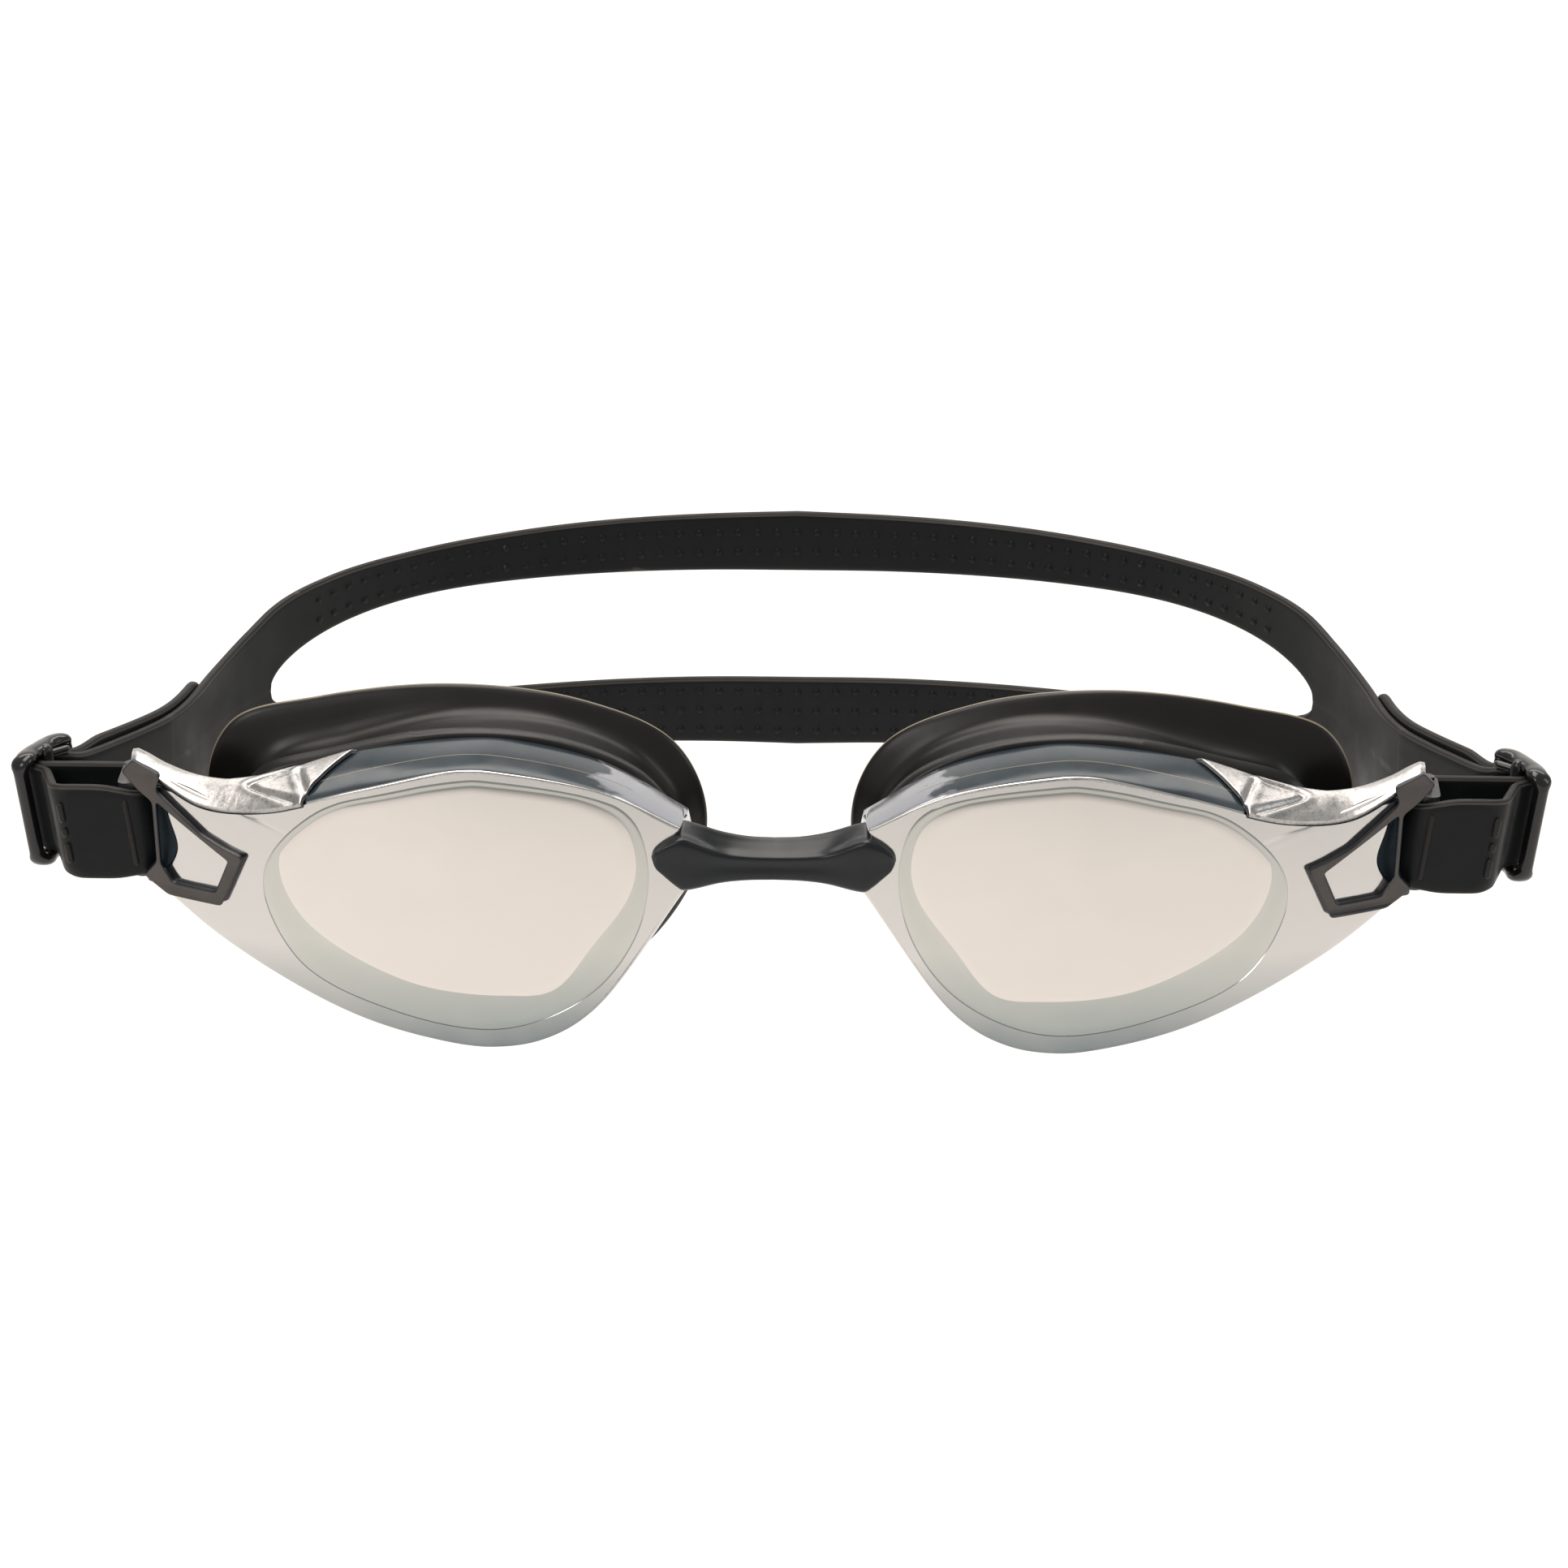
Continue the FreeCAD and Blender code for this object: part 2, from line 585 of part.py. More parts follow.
def make_strap_end():
    width = size("strap_width")
    low = buckle_middle - lean_way * (width / 2)
    drawn = sketch("strap_end_plan", PLAN_VIEW,
                   Vector(low.x - buckle_middle.x, 0, low.z), ribbon(end_route(), strap))
    band = extrude("strap_end_band", drawn, lean_way, "Sizes.strap_width")
    span = box("strap_end_span", (size("strap_joint"), -20.0, -30.0),
               (110.0, size("tail_end"), 40.0))
    inboard = box("strap_fold_span", (60.0, -20.0, -30.0), (size("strap_joint"), 8.0, 40.0))
    return common("right_strap_end", band, fuse("strap_end_spans", [span, inboard]))


# ---------------------------------------------------------------- the whole object

def mirrored(source):
    """The -X twin of a piece of the +X side."""
    twin = doc.addObject("Part::Mirroring", source.Name.replace("right_", "left_"))
    twin.Source = source
    twin.Normal = Vector(1, 0, 0)
    return twin


side_pieces = [make_lens(), make_gasket(), make_carrier(), make_clip(), make_post(),
               make_buckle_frame(), make_buckle_bar(), make_strap_end()]
pieces = side_pieces + [mirrored(piece) for piece in side_pieces]
pieces += [make_bridge(), make_head_strap()]
for piece in pieces:
    piece.Label = piece.Name
doc.recompute()

for item in doc.Objects:
    if "Invalid" in item.State or "Error" in item.State:
        raise RuntimeError(f"{item.Label} did not build: {item.State}")
for piece in pieces:
    shape = piece.Shape
    if shape.isNull() or not shape.isValid():
        raise RuntimeError(f"{piece.Label} has no valid shape")
    if len(shape.Solids) != 1:
        raise RuntimeError(f"{piece.Label} is {len(shape.Solids)} solids, not one")
    shape.exportStep(f"parts/{piece.Label}.step")
    extent = shape.BoundBox
    print(f"{piece.Label}: {shape.Volume:.1f} mm3, X {extent.XMin:.1f} to {extent.XMax:.1f}, "
          f"Y {extent.YMin:.1f} to {extent.YMax:.1f}, Z {extent.ZMin:.1f} to {extent.ZMax:.1f}")
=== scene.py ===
import json
import math

import bpy
import numpy as np
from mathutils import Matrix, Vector


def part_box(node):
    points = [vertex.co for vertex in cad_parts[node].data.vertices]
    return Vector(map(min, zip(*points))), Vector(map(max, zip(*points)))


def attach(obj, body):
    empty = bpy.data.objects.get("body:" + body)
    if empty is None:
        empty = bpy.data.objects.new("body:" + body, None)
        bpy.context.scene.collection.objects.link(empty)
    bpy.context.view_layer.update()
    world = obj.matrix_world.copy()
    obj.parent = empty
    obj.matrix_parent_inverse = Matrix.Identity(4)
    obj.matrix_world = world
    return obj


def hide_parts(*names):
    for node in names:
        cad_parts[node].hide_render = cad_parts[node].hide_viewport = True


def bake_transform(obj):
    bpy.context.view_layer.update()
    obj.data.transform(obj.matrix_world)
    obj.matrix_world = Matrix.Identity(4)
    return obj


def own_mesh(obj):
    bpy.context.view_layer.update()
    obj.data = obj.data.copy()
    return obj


# Looks of the swim goggles. Lengths in this script are millimetres in the CAD frame, and
# make_piece() turns them into metres. X to the viewer's right, +Y to the back, +Z up.

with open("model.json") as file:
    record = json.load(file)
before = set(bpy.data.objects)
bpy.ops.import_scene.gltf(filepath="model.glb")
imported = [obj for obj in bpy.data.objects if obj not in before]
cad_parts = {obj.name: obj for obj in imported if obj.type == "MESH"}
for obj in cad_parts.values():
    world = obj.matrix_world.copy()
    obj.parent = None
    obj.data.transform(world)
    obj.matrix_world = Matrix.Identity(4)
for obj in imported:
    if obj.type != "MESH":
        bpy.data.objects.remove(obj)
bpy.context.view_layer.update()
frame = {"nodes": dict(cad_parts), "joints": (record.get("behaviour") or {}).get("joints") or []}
MM = 0.001


def node_box(node):
    """Lowest and highest corner of a CAD node, in millimetres."""
    low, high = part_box(node)
    return np.array(low) / MM, np.array(high) / MM


def joint_named(name):
    return next(joint for joint in frame["joints"] if joint["name"] == name)


BRIDGE_LOW, BRIDGE_HIGH = node_box("nose_bridge")
FRONT = node_box("right_lens")[0][1]
BAR = np.array(joint_named("right_buckle_tilt")["pos_m"]) / MM
LEAN = math.asin(joint_named("right_buckle_tilt")["axis"][0])
STRAP_JOINT = node_box("head_strap")[1][0] + 0.05
STRAP_THICK = 1.2
STRAP_WIDTH = 11.0
STRAP_MIDDLE = 6.0
LOOP_FRONT = node_box("right_strap_end")[0][1] + STRAP_THICK / 2

# -------- shape helpers


def unit(way):
    return way / np.linalg.norm(way)


def lengths_along(points):
    """Distance of each point from the first, along the line through them."""
    return np.concatenate([[0], np.cumsum(np.linalg.norm(np.diff(points, axis=0), axis=1))])


def spline(points, count, closed=False):
    """Smooth curve through the points, sampled evenly along its length."""
    points = np.array(points, float)
    if closed:
        ring = np.vstack([points[-2:], points, points[:3]])
    else:
        ring = np.vstack([2 * points[0] - points[1], points, 2 * points[-1] - points[-2]])
        ring = np.vstack([ring, ring[-1]])
    fine = []
    first, last = (2, len(points) + 2) if closed else (1, len(points))
    for i in range(first, last):
        p0, p1, p2, p3 = ring[i - 1], ring[i], ring[i + 1], ring[i + 2]
        d1, d2, d3 = (math.sqrt(np.linalg.norm(b - a)) + 1e-9
                      for a, b in ((p0, p1), (p1, p2), (p2, p3)))
        m1 = d2 * ((p1 - p0) / d1 - (p2 - p0) / (d1 + d2) + (p2 - p1) / d2)
        m2 = d2 * ((p2 - p1) / d2 - (p3 - p1) / (d2 + d3) + (p3 - p2) / d3)
        u = np.linspace(0, 1, 240, endpoint=False)[:, None]
        fine.extend((2 * u ** 3 - 3 * u ** 2 + 1) * p1 + (u ** 3 - 2 * u ** 2 + u) * m1
                    + (3 * u ** 2 - 2 * u ** 3) * p2 + (u ** 3 - u ** 2) * m2)
        if i == last - 1 and not closed:
            fine.append(p2)
    fine = np.array(fine)
    if closed:
        fine = np.vstack([fine, fine[0]])
    along = lengths_along(fine)
    wanted = np.linspace(0, along[-1], count, endpoint=not closed)
    return np.stack([np.interp(wanted, along, fine[:, k]) for k in range(fine.shape[1])], 1)


def skin(loops, closed=True, cap_start=False, cap_end=False):
    """Vertices and faces of a skin over loops that have the same number of points."""
    count = len(loops[0])
    vertices = [tuple(p) for loop in loops for p in loop]
    faces = []
    around = count if closed else count - 1
    for row in range(len(loops) - 1):
        for k in range(around):
            a = row * count + k
            b = row * count + (k + 1) % count
            faces.append((a, b, b + count, a + count))
    for wanted, row, flip in ((cap_start, 0, True), (cap_end, len(loops) - 1, False)):
        if wanted:
            middle = len(vertices)
            vertices.append(tuple(np.mean(np.array(loops[row]), 0)))
            for k in range(count):
                a = row * count + k
                b = row * count + (k + 1) % count
                faces.append((b, a, middle) if flip else (a, b, middle))
    return vertices, faces


def join(parts):
    """Several (vertices, faces) as one."""
    vertices, faces = [], []
    for more_vertices, more_faces in parts:
        base = len(vertices)
        vertices += list(more_vertices)
        faces += [tuple(base + k for k in face) for face in more_faces]
    return vertices, faces


def make_piece(name, shape, materials, body, side=1, replaces=(), face_materials=None,
               sharp=40.0):
    """A Blender mesh from (vertices, faces) in millimetres; side -1 mirrors it in X."""
    vertices, faces = shape
    vertices = np.array(vertices, float) * MM
    if side < 0:
        vertices[:, 0] *= -1
        faces = [tuple(reversed(face)) for face in faces]
    mesh = bpy.data.meshes.new(name)
    mesh.from_pydata([tuple(v) for v in vertices], [], faces)
    for material in materials:
        mesh.materials.append(material)
    if face_materials is not None:
        mesh.polygons.foreach_set("material_index", face_materials)
    mesh.polygons.foreach_set("use_smooth", [True] * len(mesh.polygons))
    mesh.validate()
    mesh.update()
    mesh.set_sharp_from_angle(angle=math.radians(sharp))
    piece = bpy.data.objects.new(name, mesh)
    bpy.context.scene.collection.objects.link(piece)
    if body is not None:
        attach(piece, body)
    if replaces:
        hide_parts(*replaces)
    return piece


def smoothstep(value):
    value = np.clip(value, 0.0, 1.0)
    return value * value * (3 - 2 * value)


def capsule(start, end, radius, sides=12, rings=5, flat=(1, 1, 1)):
    """Round-ended bar between two points; flat scales it about its middle."""
    start, end = np.array(start, float), np.array(end, float)
    way = end - start
    length = np.linalg.norm(way)
    way /= length
    helper = np.array([1.0, 0, 0]) if abs(way[0]) < 0.8 else np.array([0, 1.0, 0])
    a = unit(np.cross(way, helper))
    b = np.cross(way, a)
    stations = [(-math.cos(t) * radius, math.sin(t) * radius)
                for t in np.linspace(0.12, math.pi / 2, rings)]
    stations += [(length + math.sin(t) * radius, math.cos(t) * radius)
                 for t in np.linspace(0, math.pi / 2 - 0.12, rings)]
    loops = [[start + way * place + (a * math.cos(t) + b * math.sin(t)) * reach
              for t in np.linspace(0, 2 * math.pi, sides, endpoint=False)]
             for place, reach in stations]
    middle = (start + end) / 2
    vertices, faces = skin(loops, True, True, True)
    return [middle + (np.array(v) - middle) * np.array(flat) for v in vertices], faces


# -------- materials


def node_tree(name):
    material = bpy.data.materials.new(name)
    material.use_nodes = True
    tree = material.node_tree
    shader = tree.nodes["Principled BSDF"]
    place = tree.nodes.new("ShaderNodeTexCoord")
    return material, tree, shader, place


def set_inputs(node, values):
    for socket, value in values.items():
        node.inputs[socket].default_value = value


def noise(tree, place, feature, detail=3.0, rough=0.55, stretch=(1, 1, 1)):
    """Noise whose features are about that many millimetres."""
    mapping = tree.nodes.new("ShaderNodeMapping")
    mapping.inputs["Scale"].default_value = stretch
    tree.links.new(place.outputs["Object"], mapping.inputs["Vector"])
    texture = tree.nodes.new("ShaderNodeTexNoise")
    set_inputs(texture, {"Scale": 1.0 / (feature * MM), "Detail": detail, "Roughness": rough})
    tree.links.new(mapping.outputs["Vector"], texture.inputs["Vector"])
    return texture.outputs["Fac"]


def ramp(tree, source, stops):
    """Colours along a value, as (position, colour)."""
    node = tree.nodes.new("ShaderNodeValToRGB")
    elements = node.color_ramp.elements
    while len(elements) < len(stops):
        elements.new(0.5)
    for element, (position, color) in zip(elements, stops):
        element.position = position
        element.color = (*color, 1)
    tree.links.new(source, node.inputs["Fac"])
    return node.outputs["Color"]


def spread(tree, source, low, high, from_low=0.3, from_high=0.7):
    node = tree.nodes.new("ShaderNodeMapRange")
    set_inputs(node, {"From Min": from_low, "From Max": from_high, "To Min": low, "To Max": high})
    tree.links.new(source, node.inputs["Value"])
    return node.outputs["Result"]


def bump(tree, shader, height, strength, depth):
    """Bump of that many millimetres."""
    node = tree.nodes.new("ShaderNodeBump")
    set_inputs(node, {"Strength": strength, "Distance": depth * MM})
    tree.links.new(height, node.inputs["Height"])
    tree.links.new(node.outputs["Normal"], shader.inputs["Normal"])


def mix_color(tree, share, first, second, mode="MIX"):
    node = tree.nodes.new("ShaderNodeMix")
    node.data_type = "RGBA"
    node.blend_type = mode
    for source, socket in ((share, node.inputs[0]), (first, node.inputs[6]),
                           (second, node.inputs[7])):
        if isinstance(source, float):
            socket.default_value = source
        elif isinstance(source, tuple):
            socket.default_value = (*source, 1)
        else:
            tree.links.new(source, socket)
    return node.outputs[2]


def arithmetic(tree, operation, source, factor=1.0, added=None):
    """One math node; MULTIPLY_ADD gives source x factor + added."""
    node = tree.nodes.new("ShaderNodeMath")
    node.operation = operation
    node.inputs[1].default_value = factor
    tree.links.new(source, node.inputs[0])
    if added is not None:
        tree.links.new(added, node.inputs[2])
    return node.outputs[0]


def position_on(tree, place, axis):
    """Coordinate of the surface point on one axis, in metres."""
    split = tree.nodes.new("ShaderNodeSeparateXYZ")
    tree.links.new(place.outputs["Object"], split.inputs["Vector"])
    return split.outputs[axis]


def height_of(tree, place, low, high):
    """0 to 1 between two heights in millimetres."""
    return spread(tree, position_on(tree, place, "Z"), 0.0, 1.0, low * MM, high * MM)


def painted_edge_tone(tree, color, edge_tone, amount=1.0):
    """Edge tone along raised edges: a painted highlight where it is lighter, painted shade where
    it is darker.
    """
    geometry = tree.nodes.new("ShaderNodeNewGeometry")
    share = spread(tree, geometry.outputs["Pointiness"], 0.0, amount, 0.52, 0.60)
    return mix_color(tree, share, color, edge_tone)


def soft_black(name, dark, light, rough=(0.42, 0.55), grain=0.35, coat=0.0, sheen=0.0,
               specular=0.5, edge_tone=None, blotch=6.0, bump_depth=0.02):
    """Moulded rubber or plastic: mottled colour, uneven gloss, a fine moulded grain and, if an
    edge tone is given, painted light along raised edges.
    """
    material, tree, shader, place = node_tree(name)
    mottle = noise(tree, place, blotch, 4.0)
    color = ramp(tree, mottle, [(0.3, dark), (0.7, light)])
    # Painted light on raised edges: a lighter edge tone is a painted highlight, a darker one is
    # painted shade.
    if edge_tone:
        color = painted_edge_tone(tree, color, edge_tone)
    tree.links.new(color, shader.inputs["Base Color"])
    uneven = noise(tree, place, blotch * 0.4, 5.0)
    tree.links.new(spread(tree, uneven, rough[0], rough[1]), shader.inputs["Roughness"])
    bump(tree, shader, noise(tree, place, grain, 3.0, 0.6), 0.5, bump_depth)
    set_inputs(shader, {"Specular IOR Level": specular, "Coat Weight": coat,
                        "Coat Roughness": 0.12, "Sheen Weight": sheen, "Sheen Roughness": 0.4})
    return material


def mirror_coat(name, top, bottom, low, high, rough=(0.04, 0.09), wave=0.012):
    """Silver mirror coating on plastic, with a painted reflection that darkens it from its upper
    to its lower edge.
    """
    material, tree, shader, place = node_tree(name)
    # Painted reflection: the colour runs from bottom at the low height to top at the high height.
    rise = height_of(tree, place, low, high)
    color = ramp(tree, rise, [(0.0, bottom), (1.0, top)])
    haze = noise(tree, place, 14.0, 2.0)
    share = spread(tree, haze, 0.0, 0.25)
    faded = tuple(0.93 * c for c in top)
    color = mix_color(tree, share, color, faded)
    tree.links.new(color, shader.inputs["Base Color"])
    shader.inputs["Metallic"].default_value = 1.0
    smear = noise(tree, place, 5.0, 4.0)
    tree.links.new(spread(tree, smear, rough[0], rough[1]), shader.inputs["Roughness"])
    bump(tree, shader, noise(tree, place, 9.0, 1.0), 0.35, wave)
    set_inputs(shader, {"Coat Weight": 0.4, "Coat Roughness": 0.03})
    return material


def chrome_brow():
    """Bright satin metallising, finely brushed, on the outer part of the lens wall."""
    material, tree, shader, place = node_tree("lens_chrome")
    crumple = noise(tree, place, 3.4, 3.0, 0.6, (1.0, 1.0, 1.8))
    rings = tree.nodes.new("ShaderNodeTexWave")
    rings.wave_type = "RINGS"
    rings.rings_direction = "SPHERICAL"
    set_inputs(rings, {"Scale": 260.0, "Distortion": 7.0, "Detail": 4.0, "Detail Scale": 1.6})
    shift = tree.nodes.new("ShaderNodeMapping")
    shift.inputs["Location"].default_value = (0.0, 0.030, 0.012)
    tree.links.new(place.outputs["Object"], shift.inputs["Vector"])
    tree.links.new(shift.outputs["Vector"], rings.inputs["Vector"])
    fine = noise(tree, place, 0.35, 3.0, 0.6)
    tone = ramp(tree, crumple, [(0.30, (0.40, 0.392, 0.385)), (0.62, (0.55, 0.535, 0.525))])
    speck = ramp(tree, fine, [(0.34, (0.72, 0.71, 0.70)), (0.50, (1.0, 1.0, 1.0))])
    tree.links.new(mix_color(tree, 1.0, tone, speck, "MULTIPLY"), shader.inputs["Base Color"])
    shader.inputs["Metallic"].default_value = 1.0
    tree.links.new(spread(tree, crumple, 0.30, 0.38), shader.inputs["Roughness"])
    brushed = arithmetic(tree, "MULTIPLY_ADD", rings.outputs["Fac"], 0.45, fine)
    bump(tree, shader, brushed, 0.6, 0.035)
    return material


def smoke_wall():
    """Dark blue-grey tinted plastic of the lens wall; its nose end carries mirror coating."""
    material, tree, shader, place = node_tree("lens_smoke")
    cloud = noise(tree, place, 9.0, 3.0)
    dark = ramp(tree, cloud, [(0.3, (0.022, 0.032, 0.041)), (0.7, (0.036, 0.050, 0.061))])
    away = arithmetic(tree, "ABSOLUTE", position_on(tree, place, "X"))
    patches = noise(tree, place, 3.2, 2.0, 0.5, (0.6, 1.0, 1.0))
    patchy = arithmetic(tree, "MULTIPLY_ADD", patches, 0.014, away)
    share = spread(tree, patchy, 1.0, 0.0, 0.0265, 0.0280)
    tree.links.new(mix_color(tree, share, dark, (0.40, 0.41, 0.45)), shader.inputs["Base Color"])
    tree.links.new(arithmetic(tree, "MULTIPLY", share, 0.85), shader.inputs["Metallic"])
    tree.links.new(spread(tree, noise(tree, place, 3.0, 3.0), 0.10, 0.20),
                   shader.inputs["Roughness"])
    bump(tree, shader, noise(tree, place, 7.0, 1.0), 0.3, 0.02)
    shader.inputs["Specular IOR Level"].default_value = 0.34
    return material


# The mirror colours darken towards each lens's lower edge: painted reflection of the shade under
# the goggles.
LENS_OUTER = mirror_coat("lens_mirror_outer", (0.66, 0.64, 0.62), (0.13, 0.17, 0.185), -17, -5,
                         (0.11, 0.17))
LENS_RING = mirror_coat("lens_mirror_ring", (0.58, 0.575, 0.54), (0.30, 0.34, 0.335), -15, -4)
LENS_OPTIC = mirror_coat("lens_mirror_optic", (0.785, 0.735, 0.695), (0.74, 0.69, 0.65), -10, 12)
LENS_LINE = mirror_coat("lens_mirror_line", (0.50, 0.50, 0.475), (0.27, 0.31, 0.315), -15, 0)
LENS_CHROME = chrome_brow()
LENS_SMOKE = smoke_wall()
LENS_INSIDE = soft_black("lens_inside", (0.020, 0.026, 0.031), (0.030, 0.038, 0.045),
                         (0.30, 0.40), 0.4, specular=0.45, blotch=9.0, bump_depth=0.003)
# Painted shade: dark colour along the chrome brow's edges where it meets the lens.
BROW_EDGE_SHADE = soft_black("brow_edge_shade", (0.020, 0.020, 0.024), (0.035, 0.034, 0.038), (0.2, 0.3), 0.3)
# Painted highlight: warm light line along the black gasket's rim.
GASKET_RIM_HIGHLIGHT = soft_black("gasket_rim_highlight", (0.20, 0.165, 0.11), (0.27, 0.225, 0.15), (0.35, 0.45), 0.3,
                        blotch=7.0)
# Painted shade: dark outlines round the clip's bezel and on its lugs, in the gaps between parts.
CLIP_EDGE_SHADE = soft_black("clip_edge_shade", (0.006, 0.008, 0.014), (0.012, 0.015, 0.024), (0.3, 0.4), 0.3)
# Painted highlight: light tan lines along the straps' upper corners.
STRAP_EDGE_HIGHLIGHT = soft_black("strap_edge_highlight", (0.042, 0.036, 0.031), (0.060, 0.052, 0.044), (0.40, 0.50),
                        0.26, specular=0.4, blotch=9.0)
# Painted highlight: warm light line along the top of the lens's side wall.
LENS_WALL_HIGHLIGHT = soft_black("lens_wall_highlight", (0.16, 0.135, 0.09), (0.22, 0.19, 0.13), (0.2, 0.3), 0.3)
# The lighter edge tones of the gasket, carrier, bridge, buckle and strap are painted highlights
# along raised edges.
GASKET = soft_black("gasket_silicone", (0.0042, 0.0038, 0.0036), (0.0078, 0.0066, 0.0060),
                    (0.30, 0.38), 0.22, specular=0.40, edge_tone=(0.09, 0.075, 0.05),
                    blotch=11.0, bump_depth=0.012)
CARRIER = soft_black("carrier_plastic", (0.006, 0.006, 0.007), (0.012, 0.012, 0.014),
                     (0.25, 0.35), 0.3, edge_tone=(0.04, 0.04, 0.04))
BRIDGE = soft_black("bridge_satin", (0.0035, 0.0055, 0.008), (0.007, 0.009, 0.012),
                    (0.27, 0.34), 0.28, specular=0.40, edge_tone=(0.03, 0.028, 0.026), blotch=7.0,
                    bump_depth=0.006)
# The clip's darker edge tone is painted shade along the edges of its bezel, in the gaps between
# parts.
CLIP = soft_black("clip_charcoal", (0.078, 0.068, 0.062), (0.100, 0.088, 0.081),
                  (0.46, 0.58), 0.30, specular=0.35, edge_tone=(0.012, 0.014, 0.024), blotch=4.0,
                  bump_depth=0.015)
BUCKLE = soft_black("buckle_gloss", (0.004, 0.004, 0.005), (0.008, 0.008, 0.010),
                    (0.14, 0.22), 0.5, coat=0.3, specular=0.4, edge_tone=(0.03, 0.03, 0.03),
                    blotch=3.0, bump_depth=0.006)
STRAP = soft_black("strap_silicone", (0.0030, 0.0040, 0.0050), (0.0055, 0.0065, 0.0075),
                   (0.40, 0.52), 0.26, specular=0.24, edge_tone=(0.045, 0.040, 0.034),
                   blotch=12.0, bump_depth=0.012)

# -------- lens

LENS_TOP = [(11.2, 11.0), (20.0, 15.6), (31.8, 18.2), (37.7, 18.5), (49.5, 15.6),
            (61.2, 11.9), (69.0, 11.4), (73.6, 13.2), (76.2, 14.6)]
LENS_END = [(76.2, 14.6), (74.6, 12.2), (73.4, 9.0), (72.3, 5.2), (73.6, 2.6), (76.4, 1.3)]
LENS_BOTTOM = [(76.4, 1.3), (66.6, -5.5), (51.2, -13.2), (41.0, -16.1), (34.0, -17.0),
               (27.8, -16.0), (21.8, -12.3), (10.7, 3.1)]
LENS_NOTCH = [(10.7, 3.1), (12.2, 6.6), (12.2, 8.0), (11.2, 11.0)]
WALL_TOP = [(10.6, 10.6), (20.6, 16.4), (31.0, 19.0), (37.0, 19.3), (49.5, 17.6),
            (61.2, 14.0), (69.0, 13.1), (73.6, 13.9), (76.2, 14.9)]
WALL_BOTTOM = [(76.2, 1.1), (66.6, -5.7), (51.2, -13.4), (41.0, -16.3), (34.0, -17.2),
               (27.5, -16.2), (21.2, -12.6), (9.7, 3.3)]
WINDOW = [(15.0, 6.9), (17.8, 13.3), (31.8, 17.4), (44.0, 16.0), (55.1, 12.0), (61.4, 3.6),
          (57.3, -6.8), (46.0, -12.4), (32.3, -14.4), (22.1, -10.0), (16.4, -2.2)]
OPTIC = [(16.3, 6.8), (17.8, 11.7), (23.0, 14.8), (37.7, 16.6), (50.5, 14.0), (57.6, 10.0),
         (59.5, 5.0), (56.5, -1.5), (44.2, -8.5), (32.2, -10.1), (26.4, -9.4), (21.4, -3.4),
         (17.2, 2.6)]
LENS_MIDDLE = np.array([38.0, 3.0])
# Painted highlight line along the top of the side wall: share of the wall's depth, and its extent
HIGHLIGHT_SHARE = 0.418
HIGHLIGHT_LOW, HIGHLIGHT_FROM, HIGHLIGHT_TO = 8.0, 17.0, 58.0


def circle_through(a, b, c):
    """Centre and radius of the circle through three points."""
    matrix = np.array([[b[0] - a[0], b[1] - a[1]], [c[0] - a[0], c[1] - a[1]]]) * 2
    right = np.array([b[0] ** 2 + b[1] ** 2 - a[0] ** 2 - a[1] ** 2,
                      c[0] ** 2 + c[1] ** 2 - a[0] ** 2 - a[1] ** 2])
    centre = np.linalg.solve(matrix, right)
    return centre, math.hypot(*(centre - np.array(a)))


ARCS_MEET = 35.0
NOSE_ARC = circle_through((6.0, FRONT + 3.2), (21.0, FRONT + 0.75), (ARCS_MEET, FRONT))
TEMPLE_ARC = circle_through((ARCS_MEET, FRONT), (56.0, FRONT + 2.94), (78.0, FRONT + 12.33))
LENS_BULGE = 0.9
WALL_REAR = -11.5
WALL_TURN = 66.0


def face_y(x, z=3.0):
    """How far forward the lens face is at a place on it."""
    centre, radius = NOSE_ARC if x < ARCS_MEET else TEMPLE_ARC
    flat = centre[1] - math.sqrt(radius ** 2 - (x - centre[0]) ** 2)
    return flat + LENS_BULGE * ((z - 3.0) / 18.0) ** 2


def wall_y(x):
    """Rear edge of the lens wall."""
    return WALL_REAR + max(0.0, x - WALL_TURN) * (5.0 / 12.0)


def polar(points, angles):
    """Distance of a closed outline from the lens middle, at each angle."""
    away = np.array(points) - LENS_MIDDLE
    turn = np.arctan2(away[:, 1], away[:, 0])
    reach = np.hypot(away[:, 0], away[:, 1])
    order = np.argsort(turn)
    turn, reach = turn[order], reach[order]
    turn = np.concatenate([turn - 2 * math.pi, turn, turn + 2 * math.pi])
    return np.interp(angles, turn, np.tile(reach, 3))


